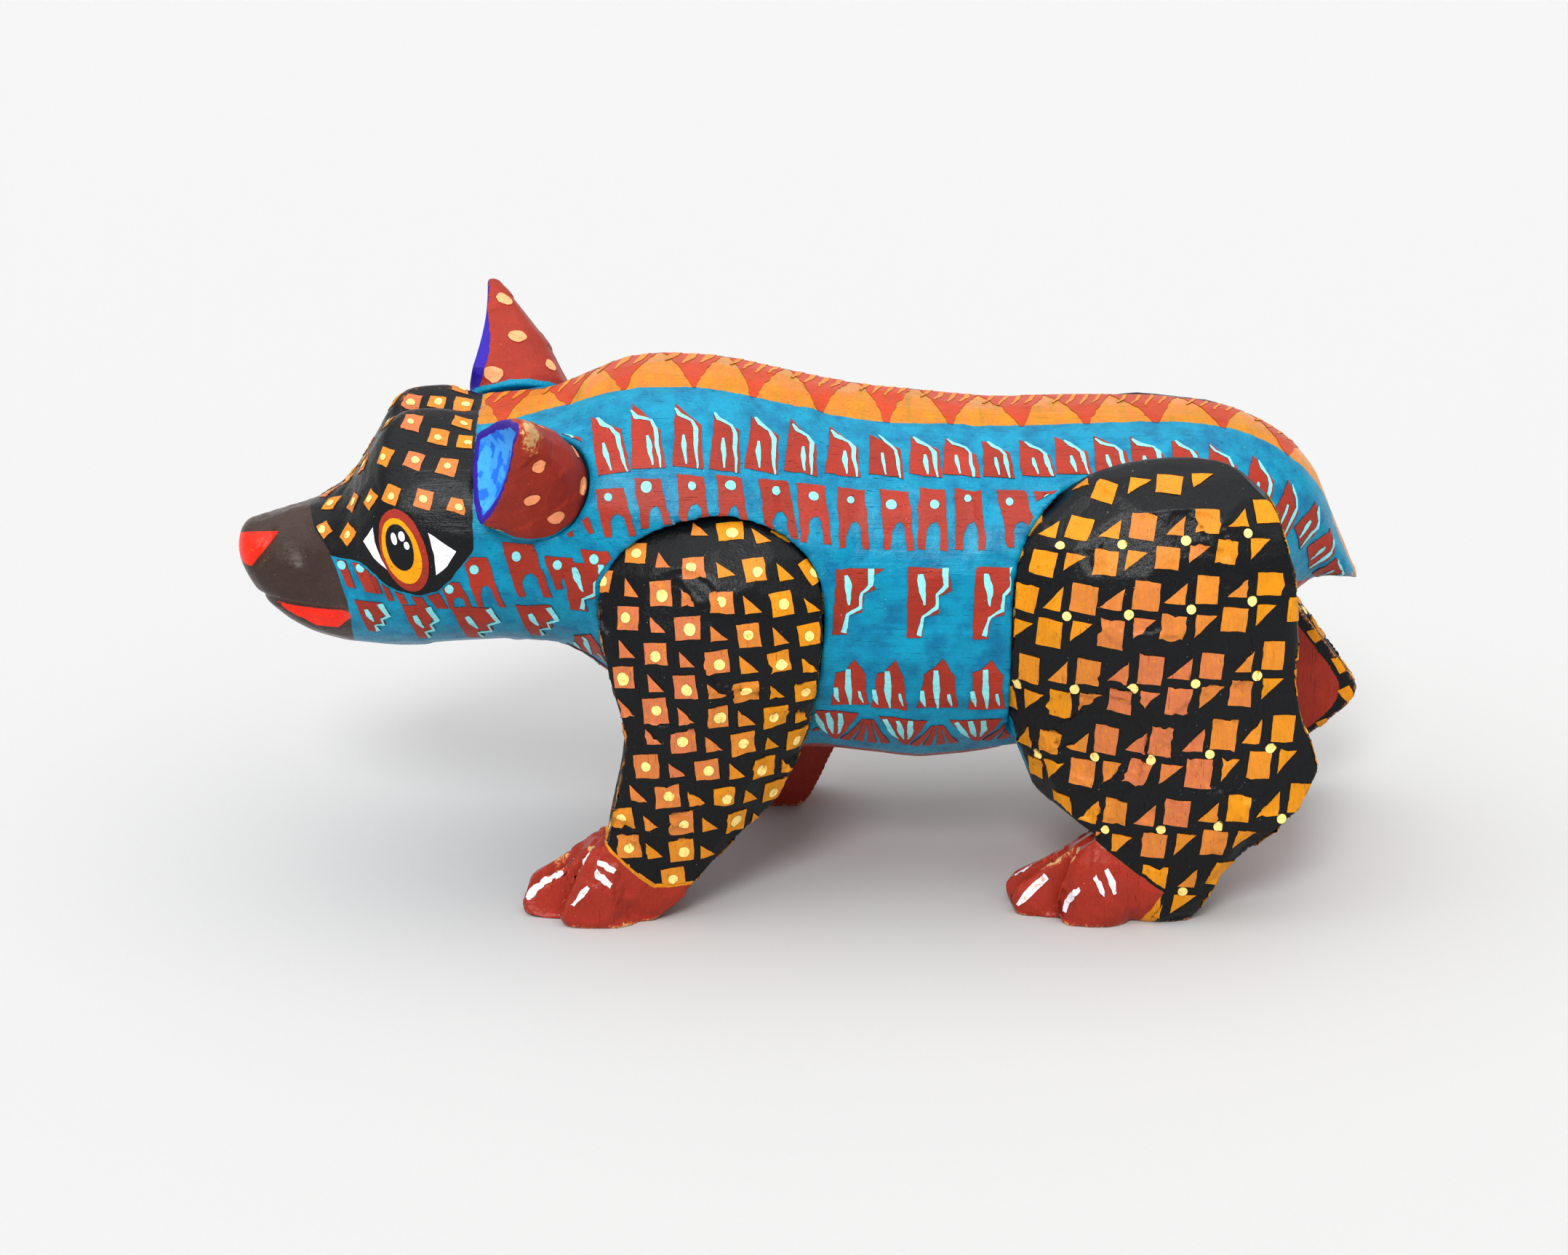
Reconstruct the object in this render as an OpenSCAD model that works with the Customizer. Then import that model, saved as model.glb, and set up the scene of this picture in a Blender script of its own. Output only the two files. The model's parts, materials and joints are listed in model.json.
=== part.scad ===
// Carved and painted wooden bear, walking.
// X runs from the nose (-X) to the tail (+X), Y across the figure, Z up from the soles.
// The body, head and tail are one carved log.  Four leg slabs are glued and dowelled onto flats cut in
// its sides, and two loose ears plug onto round pegs that stand in sockets in the head.

/* [Figure] */
// Overall scale of the carving, 1 for a figure about 245 mm long
carving_scale = 1; // [0.8:0.05:1.3]

/* [Legs] */
// Distance from the middle plane to the flats that the legs are glued to
seat_y = 26; // [22:0.5:28]
// Thickness of each leg slab at its fullest
leg_thick = 20.5; // [17:0.5:24]
// Thickness of each leg at its foot
foot_thick = 17; // [14:0.5:20]
// Glue gap between a leg's edge and the pocket around it
glue_gap = 0.15; // [0.1:0.05:0.4]
// How far back the right front foot stands behind the left one
front_stride = 31; // [0:1:34]
// How far back the right rear foot stands behind the left one
rear_stride = 24; // [0:1:26]

/* [Leg dowels] */
// Diameter of the leg dowels
dowel_d = 5; // [4:0.5:6]
// Length of the leg dowels
dowel_len = 22; // [16:1:24]

/* [Ears] */
// Length of an ear from its seat to its tip
ear_len = 31; // [24:1:34]
// Diameter of the round foot of an ear
ear_foot_d = 24; // [22:0.5:26]
// Tilt of the left ear out from upright
ear_splay_left = 50; // [35:1:60]
// Tilt of the right ear out from upright
ear_splay_right = 40; // [35:1:60]

/* [Ear pegs] */
// Diameter of the round pegs that carry the ears
ear_peg_d = 6; // [5:0.5:7]
// Length of each peg inside the head
peg_in_head = 14; // [10:1:16]
// Length of each peg inside the ear
peg_in_ear = 12; // [8:1:13]
// Radial clearance of a peg in its holes
peg_play = 0.05; // [0.02:0.01:0.08]
// Gap between an ear's foot and its seat, so that the ear turns freely
foot_gap = 0.1; // [0.05:0.05:0.3]

/* [Hidden] */
$fn = 48;

teal = "#0092b2";
black = "#1e1f20";
barn_red = "#a33a2a";
raw_wood = "#c9a26b";

left = -1;
right = 1;

// The origin stands under the middle of the whole figure's box
middle = [2.25, -2.24, 0];

// Stations along the log: x, sideways shift, top, bottom, half width
log_stations = [
  [-120, -6, 75, 70.5, 3],
  [-118.5, -6, 77.5, 67.5, 6.5],
  [-115, -5.7, 79, 62.5, 10],
  [-109, -5.3, 80.5, 57.5, 13.5],
  [-102, -4.8, 83, 53.5, 16],
  [-96, -4.3, 87, 52, 19.5],
  [-91, -3.8, 94, 51.5, 23],
  [-86, -3.4, 101, 51, 26],
  [-80, -2.8, 103, 51, 28],
  [-70, -2, 103, 52, 30],
  [-58, -1, 103.5, 52, 32],
  [-48, -0.4, 106, 50, 34],
  [-40, 0, 109.5, 44, 36],
  [-28, 0, 111.5, 32, 38],
  [-12, 0, 110, 28, 38.5],
  [8, 0, 105.5, 27, 38],
  [26, 0, 103.5, 25.2, 38],
  [44, 0, 102, 27.5, 37.5],
  [62, 0, 102.3, 30, 37],
  [78, 0, 102, 33, 35],
  [90, 0, 100.5, 41, 29],
  [99, 0, 97, 52, 22],
  [106, 0, 92, 61, 15],
  [111, 0, 85, 63.5, 10.5],
  [115, 0, 75, 63.5, 7],
  [118.5, 0, 67, 63, 3.5],
  [120, 0, 65, 63.3, 1.6],
];
rings_per_station = 2;
ring_points = 32;
// Superellipse power of the log's sections: 2 is an ellipse, more is squarer
section_power = 2.15;
// The crease between the two brow lobes: middle, half length, depth, half width
crease = [-79, 14, 2.6, 5];

// Front leg seen from the left: x, z, going round from the top towards the nose
front_outline = [
  [-14, 87.5], [-24, 86.5], [-32, 83.5], [-38, 78], [-41, 69], [-39.5, 57], [-36.5, 46],
  [-37, 34], [-39, 24], [-40.5, 16], [-41, 8], [-40.5, 2], [-38, 0], [-31, 0],
  [-25.5, 4], [-17, 13], [-8, 22], [-1.5, 31], [2, 43], [4, 55], [5, 66], [3.5, 76], [-3, 83.5],
];
// Rear leg, with its hock's place given so that the stretched leg can have a lower one
function rear_outline(hock) = [
  [78, 98], [66, 96.5], [56, 92], [48, 84], [44.5, 74], [44, 60], [44, 46], [44, 34],
  [48.5, 27], [56.5, 22.5], [63.5, 18], [67, 11], [68, 4], [70, 0], [82, 0],
  [86, 5], [92, 14], [(hock[0] + 92) / 2 + 1.5, (hock[1] + 14) / 2], hock,
  [hock[0] - 2.5, hock[1] + 10], [102.5, 54], [102, 66], [100.5, 80], [96, 90], [88, 96.5],
];
hock_left = [107, 34];
hock_right = [111, 28];
// Half height of the rounding at the top of each rear leg
rear_crown_left = 32.5;
rear_crown_right = 30;
outline_steps = 4;
// Height at which the stride of a leg starts
hip_z = 64;

// Places of the two dowels of a leg: x, z
front_dowels = [[-18, 72], [-16, 50]];
rear_dowels = [[74, 76], [72, 52]];
// Paws: where the knuckles stand, and each toe's tip and knuckle
front_ankle_x = -40;
front_toes = [[-14, 28.5, 31.5], [-15, 34.5, 34], [-6.5, 41, 39]];
rear_ankle_x = 63;
rear_toes = [[-15, 28.5, 31.5], [-14.5, 34.5, 34], [-5, 40, 38.5]];
hole_slack = 0.05;
hole_end_gap = 0.5;

ear_seat_left = [-55.5, -26.5, 91.5];
ear_seat_right = [-60.5, 22, 94.5];
// The head turns a little towards the left
head_turn = 5;
ear_foot_h = 3;
ear_tip_r = 2;
seat_clear = 0.3;

function spline(p0, p1, p2, p3, t) =
  0.5 * (2 * p1 + (p2 - p0) * t + (2 * p0 - 5 * p1 + 4 * p2 - p3) * t * t
  + (3 * p1 - p0 - 3 * p2 + p3) * t * t * t);

// An open curve through the points, with the given steps between each pair
function open_curve(p, steps) = concat(
  [for (i = [0:len(p) - 2], s = [0:steps - 1])
    spline(p[max(i - 1, 0)], p[i], p[i + 1], p[min(i + 2, len(p) - 1)], s / steps)],
  [p[len(p) - 1]]);

function closed_curve(p, steps) = let (n = len(p))
  [for (i = [0:n - 1], s = [0:steps - 1])
    spline(p[(i + n - 1) % n], p[i], p[(i + 1) % n], p[(i + 2) % n], s / steps)];

// The outline moved out along its own normals.  Outlines go round anticlockwise, so out is to the right.
function widened(outline, gap) = let (n = len(outline))
  [for (i = [0:n - 1])
    let (
      run = outline[(i + 1) % n] - outline[(i + n - 1) % n],
      out = [run[1], -run[0]] / max(norm(run), 0.001)
    )
    outline[i] + gap * out];

function flat_sole(outline) = [for (p = outline) [p[0], max(p[1], 0)]];

// A stride slides the lower leg back, and leaves the sole flat and the hip where it is
function stridden(outline, stride) =
  [for (p = outline) [p[0] + stride * max(0, 1 - p[1] / hip_z), p[1]]];

function signed_power(v, e) = sign(v) * pow(abs(v), e);

// One ring of the log, square to X, with the brow crease pressed into the top
function log_ring(s) = [
  for (i = [0:ring_points - 1])
    let (
      a = 360 * i / ring_points,
      e = 2 / section_power,
      y = s[4] * signed_power(cos(a), e),
      z = (s[2] + s[3]) / 2 + (s[2] - s[3]) / 2 * signed_power(sin(a), e),
      along = max(0, 1 - pow((s[0] - crease[0]) / crease[1], 2)),
      across = exp(-pow(y / crease[3], 2)),
      press = sin(a) > 0 ? crease[2] * along * across : 0
    )
    [s[0], s[1] + y, z - press]
];

module log_solid() {
  rings = [for (s = open_curve(log_stations, rings_per_station)) log_ring(s)];
  count = len(rings);
  points = [for (r = rings) each r];
  sides = [
    for (k = [0:count - 2], i = [0:ring_points - 1])
      let (
        j = (i + 1) % ring_points,
        a = k * ring_points + i,
        b = k * ring_points + j,
        c = b + ring_points,
        d = a + ring_points
      )
      each [[a, b, c], [a, c, d]]
  ];
  nose_cap = [for (i = [ring_points - 1:-1:0]) i];
  tail_cap = [for (i = [0:ring_points - 1]) (count - 1) * ring_points + i];
  polyhedron(points = points, faces = concat(sides, [nose_cap, tail_cap]));
}

// Draws a leg outline as a slab between two distances from the middle plane
module slab(outline, side, near, far) {
  start = side > 0 ? far : -near;
  translate([0, start, 0])
    rotate([90, 0, 0])
      linear_extrude(height = far - near)
        polygon(outline);
}

module ellipsoid(centre, radii, facets = 32) {
  translate(centre)
    scale(radii)
      sphere(r = 1, $fn = facets);
}

module dowel_at(place, side, radius, reach) {
  translate([place[0], side * seat_y, place[1]])
    rotate([90, 0, 0])
      cylinder(r = radius, h = 2 * reach, center = true);
}

module dowel_holes(places, side) {
  for (place = places)
    dowel_at(place, side, dowel_d / 2 + hole_slack, dowel_len / 2 + hole_end_gap);
}

// Three carved toes that spread forward from one knuckle line.  Each toe is tip x, tip distance from
// the middle plane and knuckle distance, with x from the ankle.
module paw(ankle_x, side, toes) {
  intersection() {
    union()
      for (toe = toes)
        hull() {
          ellipsoid([ankle_x, side * toe[2], 7], [8, 5.5, 11.5], 24);
          ellipsoid([ankle_x + toe[0], side * toe[1], 3.5], [4, 3, 4.5], 20);
        }
    translate([ankle_x - 30, -60, 0])
      cube([60, 120, 40]);
  }
}

function front_curve(stride) =
  flat_sole(stridden(closed_curve(front_outline, outline_steps), stride));

function rear_curve(hock, stride) =
  flat_sole(stridden(closed_curve(rear_outline(hock), outline_steps), stride));

module front_leg(side, stride) {
  color(black)
    translate(-middle)
      difference() {
        union() {
          intersection() {
            slab(front_curve(stride), side, seat_y, seat_y + leg_thick);
            hull() {
              ellipsoid([-18, side * seat_y, 60], [34, leg_thick, 28.5]);
              ellipsoid([-34 + stride, side * seat_y, 12], [20, foot_thick, 20]);
            }
          }
          paw(front_ankle_x + stride, side, front_toes);
        }
        dowel_holes(front_dowels, side);
      }
}

module rear_leg(side, stride, hock, crown) {
  color(black)
    translate(-middle)
      difference() {
        union() {
          intersection() {
            slab(rear_curve(hock, stride), side, seat_y, seat_y + leg_thick);
            hull() {
              ellipsoid([76, side * seat_y, 66], [40, leg_thick, crown]);
              ellipsoid([86 + stride / 2, side * seat_y, 30], [34, leg_thick, 26]);
              ellipsoid([76 + stride, side * seat_y, 8], [18, foot_thick, 14]);
            }
          }
          paw(rear_ankle_x + stride, side, rear_toes);
        }
        dowel_holes(rear_dowels, side);
      }
}

module dowel(place, side) {
  color(raw_wood)
    translate(-middle)
      dowel_at(place, side, dowel_d / 2, dowel_len / 2);
}

// Moves its children so that their +Z is the ear's axis and their origin its seat
module at_ear(side) {
  seat = side < 0 ? ear_seat_left : ear_seat_right;
  splay = side < 0 ? ear_splay_left : -ear_splay_right;
  translate(seat)
    rotate([0, 0, head_turn])
      rotate([splay, 0, 0])
        children();
}

// A leaf-shaped cone whose front is cut flat, on a round foot
module ear(side) {
  foot_r = ear_foot_d / 2;
  front_lean = atan2(foot_r - 4, ear_len);
  color(barn_red)
    translate(-middle)
      at_ear(side)
        difference() {
          hull() {
            translate([0, 0, foot_gap])
              cylinder(r = foot_r, h = ear_foot_h - foot_gap, $fn = 32);
            translate([-1, 0, ear_len * 0.45])
              cylinder(r = foot_r * 0.7, h = 1, $fn = 32);
            translate([-3, 0, ear_len - ear_tip_r])
              sphere(r = ear_tip_r, $fn = 24);
          }
          translate([-foot_r + 1, 0, ear_foot_h])
            rotate([0, front_lean, 0])
              translate([-20, -20, 0])
                cube([20, 40, 50]);
          translate([0, 0, -1])
            cylinder(r = ear_peg_d / 2 + peg_play, h = peg_in_ear + 1 + hole_end_gap);
        }
}

module ear_peg(side) {
  color(raw_wood)
    translate(-middle)
      at_ear(side)
        translate([0, 0, -peg_in_head])
          cylinder(r = ear_peg_d / 2, h = peg_in_head + peg_in_ear);
}

module ear_socket(side) {
  at_ear(side) {
    cylinder(r = ear_foot_d / 2 + seat_clear, h = 30);
    translate([0, 0, -peg_in_head - hole_end_gap])
      cylinder(r = ear_peg_d / 2 + peg_play, h = peg_in_head + 1);
  }
}

// The pocket cut in the log's side down to the flat that a leg is glued to
module leg_pocket(outline, side) {
  slab(widened(outline, glue_gap), side, seat_y, seat_y + 30);
}

module body() {
  color(teal)
    translate(-middle)
      difference() {
        log_solid();
        leg_pocket(front_curve(0), left);
        leg_pocket(front_curve(front_stride), right);
        leg_pocket(rear_curve(hock_left, 0), left);
        leg_pocket(rear_curve(hock_right, rear_stride), right);
        dowel_holes(front_dowels, left);
        dowel_holes(front_dowels, right);
        dowel_holes(rear_dowels, left);
        dowel_holes(rear_dowels, right);
        ear_socket(left);
        ear_socket(right);
      }
}

scale(carving_scale) {
  body();
  front_leg(left, 0);  // leg_front_left
  front_leg(right, front_stride);  // leg_front_right
  rear_leg(left, 0, hock_left, rear_crown_left);  // leg_rear_left
  rear_leg(right, rear_stride, hock_right, rear_crown_right);  // leg_rear_right
  dowel(front_dowels[0], left);  // dowel_front_left_upper
  dowel(front_dowels[1], left);  // dowel_front_left_lower
  dowel(front_dowels[0], right);  // dowel_front_right_upper
  dowel(front_dowels[1], right);  // dowel_front_right_lower
  dowel(rear_dowels[0], left);  // dowel_rear_left_upper
  dowel(rear_dowels[1], left);  // dowel_rear_left_lower
  dowel(rear_dowels[0], right);  // dowel_rear_right_upper
  dowel(rear_dowels[1], right);  // dowel_rear_right_lower
  ear_peg(left);  // ear_peg_left
  ear_peg(right);  // ear_peg_right
  ear(left);  // ear_left
  ear(right);  // ear_right
}
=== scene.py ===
"""A carved and painted wooden bear, dressed around its CAD frame.

Each wooden piece is carved from its CAD node: the node is cut into small cells, smoothed, whittled and
given its mouth, nose and knife marks.  Grounds of plain colour are painted by the materials, from
signed distances stored on the skin.  The motifs are thin closed chips of paint laid on the skin.
Lengths are millimetres until a mesh is made; X runs to the tail, -Y to the bear's own left, Z up.
"""
import json
import math
import random

import bmesh
import bpy
import numpy as np
from mathutils import Matrix, Vector, geometry, kdtree, noise
from mathutils.bvhtree import BVHTree


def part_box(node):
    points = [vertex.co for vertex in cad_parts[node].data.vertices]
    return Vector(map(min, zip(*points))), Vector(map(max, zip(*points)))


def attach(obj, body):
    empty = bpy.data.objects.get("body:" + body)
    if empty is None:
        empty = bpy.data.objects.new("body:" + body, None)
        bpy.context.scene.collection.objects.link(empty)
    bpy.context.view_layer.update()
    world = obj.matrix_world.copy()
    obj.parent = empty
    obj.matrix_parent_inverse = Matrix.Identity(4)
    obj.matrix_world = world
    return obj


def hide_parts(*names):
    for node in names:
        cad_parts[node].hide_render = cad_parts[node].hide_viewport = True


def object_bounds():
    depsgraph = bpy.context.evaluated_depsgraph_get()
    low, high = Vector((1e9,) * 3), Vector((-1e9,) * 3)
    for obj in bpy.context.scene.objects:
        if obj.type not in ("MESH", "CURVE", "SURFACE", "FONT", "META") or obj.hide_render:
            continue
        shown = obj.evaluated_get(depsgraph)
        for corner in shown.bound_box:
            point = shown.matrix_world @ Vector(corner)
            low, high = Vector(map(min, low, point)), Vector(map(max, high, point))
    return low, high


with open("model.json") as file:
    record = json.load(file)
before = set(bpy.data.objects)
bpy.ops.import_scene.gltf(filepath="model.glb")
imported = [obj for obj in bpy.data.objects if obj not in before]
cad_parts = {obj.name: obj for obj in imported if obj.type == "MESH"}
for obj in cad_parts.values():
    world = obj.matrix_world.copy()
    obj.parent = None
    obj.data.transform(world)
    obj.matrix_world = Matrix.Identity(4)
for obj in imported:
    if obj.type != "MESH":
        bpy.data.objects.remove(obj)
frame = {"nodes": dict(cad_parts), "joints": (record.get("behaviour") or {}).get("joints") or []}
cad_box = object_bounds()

# Without a seed of its own, this noise starts from the clock
noise.seed_set(7)

MM = 0.001
LEFT = -1
RIGHT = 1
SIDE_NAMES = {LEFT: "left", RIGHT: "right"}
# Each leg's side, and whether it is a front leg
LEGS = {"leg_front_left": (LEFT, True), "leg_front_right": (RIGHT, True),
        "leg_rear_left": (LEFT, False), "leg_rear_right": (RIGHT, False)}


# ---- colours

def rgb(red, green, blue):
    """A colour from its 0 to 255 display values, in Blender's linear light."""
    linear = []
    for value in (red, green, blue):
        share = value / 255
        linear.append(share / 12.92 if share <= 0.04045 else ((share + 0.055) / 1.055) ** 2.4)
    return (*linear, 1.0)


TEAL = rgb(0, 140, 172)
DEEP_TEAL = rgb(0, 112, 150)
BARN_RED = rgb(158, 52, 36)
ORANGE = rgb(212, 132, 34)
FLAME = rgb(186, 66, 30)
CYAN = rgb(140, 214, 218)
BLACK = rgb(20, 21, 23)
CREAM = rgb(252, 224, 142)
OCHRE = rgb(214, 142, 18)
COPPER = rgb(198, 116, 74)
SNOUT = rgb(66, 50, 44)
NOSE_RED = rgb(232, 46, 24)
PEACH = rgb(255, 168, 118)
ULTRAMARINE = rgb(52, 30, 158)
WHITE = rgb(232, 228, 238)
AMBER = rgb(226, 158, 10)


# ---- frame measures

def millimetres(vector):
    return Vector(vector) / MM


def node_box(node):
    low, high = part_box(node)
    return millimetres(low), millimetres(high)


SEAT_LEFT = node_box("leg_rear_left")[1].y
SEAT_RIGHT = node_box("leg_rear_right")[0].y
MIDDLE_Y = (SEAT_LEFT + SEAT_RIGHT) / 2
SEAT = (SEAT_RIGHT - SEAT_LEFT) / 2


def ear_frame(side):
    """Origin and axis of an ear's peg, from the joint that turns it."""
    name = SIDE_NAMES[side] + "_ear_turn"
    joint = next(j for j in frame["joints"] if j["name"] == name)
    return millimetres(joint["pos_m"]), Vector(joint["axis"]).normalized()


def head_shift(x):
    """How far the log's middle line stands from the middle plane: the head turns a little to the left."""
    return np.interp(x, [-122, -98, -72, -42], [-6, -4.4, -2, 0])


# ---- mesh helpers

def new_object(name, data):
    made = bpy.data.objects.new(name, data)
    bpy.context.scene.collection.objects.link(made)
    return made


def read(items, key, width, kind=float):
    """One property of every vertex or edge, a row for each."""
    values = np.empty(len(items) * width, kind)
    items.foreach_get(key, values)
    return values.reshape(-1, width)


def read_points(mesh):
    return read(mesh.vertices, "co", 3) / MM


def read_normals(mesh):
    return read(mesh.vertices, "normal", 3)


def read_edges(mesh):
    return read(mesh.edges, "vertices", 2, np.int64)


def write_points(mesh, points):
    mesh.vertices.foreach_set("co", (points * MM).ravel())
    mesh.update()


def store(mesh, name, values):
    """Keeps one number for each vertex, for the materials."""
    layer = mesh.attributes.new(name, "FLOAT", "POINT")
    layer.data.foreach_set("value", np.asarray(values, np.float32))


def tree_of(mesh):
    points = [v.co / MM for v in mesh.vertices]
    return BVHTree.FromPolygons(points, [tuple(p.vertices) for p in mesh.polygons])


def smooth_step(values, low, high):
    share = np.clip((values - low) / (high - low), 0, 1)
    return share * share * (3 - 2 * share)


def neighbour_mean(values, edges):
    """The mean of each vertex's neighbours along the edges."""
    first, second = edges.T
    rows = len(values)
    total = np.empty_like(values)
    for axis in range(values.shape[1]):
        total[:, axis] = np.bincount(first, values[second, axis], rows)
        total[:, axis] += np.bincount(second, values[first, axis], rows)
    return total / np.bincount(edges.ravel(), minlength=rows)[:, None]


PUSH_IN = 0.6
PUSH_OUT = -0.62


def relax(points, edges, weight, rounds):
    """Smooths without shrinking: each push in is followed by a slightly larger push out."""
    for step in range(rounds):
        strength = PUSH_OUT if step % 2 else PUSH_IN
        points = points + strength * weight[:, None] * (neighbour_mean(points, edges) - points)
    return points


def blank(node, voxel):
    """A copy of a CAD node in small even cells, ready to carve."""
    mesh = frame["nodes"][node].data.copy()
    shape = bmesh.new()
    shape.from_mesh(mesh)
    bmesh.ops.remove_doubles(shape, verts=shape.verts, dist=1e-6)
    shape.to_mesh(mesh)
    shape.free()
    piece = new_object(node + "_carved", mesh)
    cells = piece.modifiers.new("cells", "REMESH")
    cells.mode = "VOXEL"
    cells.voxel_size = voxel * MM
    graph = bpy.context.evaluated_depsgraph_get()
    mesh = bpy.data.meshes.new_from_object(piece.evaluated_get(graph))
    piece.modifiers.clear()
    piece.data = mesh
    mesh.materials.clear()
    return piece


def nearest_of(place, trees, limit):
    """Distance from a place to the nearest of some surfaces, up to a limit."""
    hits = [tree.find_nearest(place, limit) for tree in trees]
    return min((hit[3] for hit in hits if hit[0] is not None), default=limit)


def point_finder(points):
    finder = kdtree.KDTree(len(points))
    for row, point in enumerate(points):
        finder.insert(point, row)
    finder.balance()
    return finder


def whittle(points, normals, seed, cuts, depth, reach, weight):
    """Shaves small flats off the rounded places, as knife strokes leave them."""
    picker = random.Random(seed)
    finder = point_finder(points)
    for _ in range(cuts):
        start = picker.randrange(len(points))
        if weight[start] < 0.5:
            continue
        normal = normals[start]
        plane = points[start] - normal * depth * picker.uniform(0.6, 1.3)
        rows = np.array([hit[1] for hit in finder.find_range(points[start], reach)])
        height = (points[rows] - plane) @ normal
        facing = normals[rows] @ normal > 0.5
        cut = np.where(facing & (height > 0), np.minimum(height, depth * 1.4), 0)
        points[rows] -= normal * (cut * weight[rows])[:, None]
    return points


def edge_wear(points, normals, edges):
    """How sharply the skin stands out at each vertex, spread over a few cells."""
    around = points
    for _ in range(3):
        around = neighbour_mean(around, edges)
    bulge = np.einsum("ij,ij->i", points - around, normals)[:, None]
    return neighbour_mean(bulge, edges)[:, 0]


# ---- places on a skin

class Skin:
    """A carved piece with what the painting needs: its tree, and places found by looking along a ray."""

    def __init__(self, piece):
        self.piece = piece
        self.tree = tree_of(piece.data)

    def seen(self, start, direction):
        """The first place that a ray meets, and the outward normal there."""
        hit = self.tree.ray_cast(Vector(start), Vector(direction))
        if hit[0] is None:
            return None
        return hit[0], hit[1]

    def outward(self, start, direction):
        """The outermost place that a ray from inside passes."""
        reach = 150
        hit = self.tree.ray_cast(Vector(start) + direction * reach, -direction, reach)
        if hit[0] is None:
            return None
        return hit[0], hit[1] if hit[1].dot(direction) > 0 else -hit[1]

    def nearest(self, place):
        hit = self.tree.find_nearest(Vector(place))
        return hit[0], hit[1]

    def from_side(self, x, z, side):
        return self.seen((x, side * 200, z), (0, -side, 0))


class Fan:
    """A flat drawing plane for a rounded skin.

    Rays fan out from a line of centres inside the skin.  The first coordinate is the station along that
    line, and the second is the distance along the skin from the ray at angle nought.
    """

    def __init__(self, skin, stations, centres, zero, quarter, reach, rays):
        self.skin = skin
        self.stations = np.array(stations, float)
        self.centres = np.array(centres, float)
        self.zero = Vector(zero)
        self.quarter = Vector(quarter)
        self.angles = np.linspace(-reach, reach, rays)
        self.arcs = np.array([self.measure(centre) for centre in self.centres])
        crest = [self.skin.outward(centre, self.zero) for centre in self.centres]
        heights = [found[0].z if found else centre[2] for found, centre in zip(crest, self.centres)]
        self.slopes = np.convolve(np.gradient(heights, self.stations), [0.25, 0.5, 0.25], "same")

    def direction(self, angle):
        return self.zero * math.cos(angle) + self.quarter * math.sin(angle)

    def measure(self, centre):
        places = []
        for angle in self.angles:
            found = self.skin.outward(centre, self.direction(angle))
            places.append(found[0] if found else (places[-1] if places else Vector(centre)))
        steps = [(b - a).length for a, b in zip(places, places[1:])]
        arcs = np.concatenate([[0], np.cumsum(steps)])
        return arcs - arcs[len(arcs) // 2]

    def at(self, station, across):
        spot = np.interp(station, self.stations, np.arange(len(self.stations)))
        low = min(int(spot), len(self.stations) - 2)
        share = spot - low
        arcs = self.arcs[low] * (1 - share) + self.arcs[low + 1] * share
        if across < arcs[0] or across > arcs[-1]:
            return None
        angle = np.interp(across, arcs, self.angles)
        centre = self.centres[low] * (1 - share) + self.centres[low + 1] * share
        return self.skin.outward(centre, self.direction(angle))

    def run(self, station, across):
        """The way that the rows run: along the ridge near it, and level lower down."""
        slope = float(np.interp(station, self.stations, self.slopes))
        return Vector((1, 0, slope * min(1, max(0.15, 1.6 - abs(across) / 30))))

    def mean_normal(self, station, across):
        total = Vector((0, 0, 0))
        for a, b in ((0, 0), (1.5, 0), (-1.5, 0), (0, 1.5), (0, -1.5)):
            found = self.at(station + a, across + b)
            if found:
                total += found[1]
        return total.normalized()


class Stamp:
    """A drawing plane that touches the skin at one place: the first coordinate runs along a given
    direction, and the second runs down the picture."""

    def __init__(self, skin, place, normal, along, lean=0):
        self.skin = skin
        self.place = Vector(place)
        self.normal = Vector(normal).normalized()
        along = Vector(along)
        flat = (along - self.normal * along.dot(self.normal)).normalized()
        turn = Matrix.Rotation(math.radians(lean), 3, self.normal)
        self.along = turn @ flat
        self.down = self.normal.cross(self.along)
        if self.down.z > 0:
            self.down = -self.down

    def at(self, along, down):
        start = self.place + self.along * along + self.down * down + self.normal * 1.2
        hit = self.skin.tree.find_nearest(start, 7)
        if hit[0] is None or hit[1].dot(self.normal) < -0.1:
            return None
        return hit[0], hit[1]


def fan_stamp(fan, station, across, lean=0):
    """A stamp at a place on a fan, set along the fan's rows."""
    found = fan.at(station, across)
    if found is None:
        return None
    return Stamp(fan.skin, found[0], fan.mean_normal(station, across), fan.run(station, across), lean)


# ---- chips of paint

CHIP_SINK = 0.2
BASE_LIFT = 0.18
TOP_LIFT = 0.3
LEG_LIFT = 0.24
BAND_LIFT = 0.1
LEG_DOT_LIFT = LEG_LIFT + 0.12
CHIP_STEP = 1.0
FINE_STEP = 0.8
SHAKE_SEEDS = 97


def inside(polygon, points):
    """Which of the points lie inside a closed polygon."""
    x, y = points.T
    result = np.zeros(len(points), bool)
    for (x0, y0), (x1, y1) in zip(polygon, np.roll(polygon, -1, axis=0)):
        if y0 == y1:
            continue
        crosses = (y0 > y) != (y1 > y)
        result ^= crosses & (x < (x1 - x0) * (y - y0) / (y1 - y0) + x0)
    return result


def along_outline(outline, step):
    """The outline with enough points to bend over the skin."""
    points = []
    for start, end in zip(outline, outline[1:] + outline[:1]):
        pieces = max(1, math.ceil(math.dist(start, end) / step))
        for piece in range(pieces):
            share = piece / pieces
            points.append((start[0] + (end[0] - start[0]) * share, start[1] + (end[1] - start[1]) * share))
    return points


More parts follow.
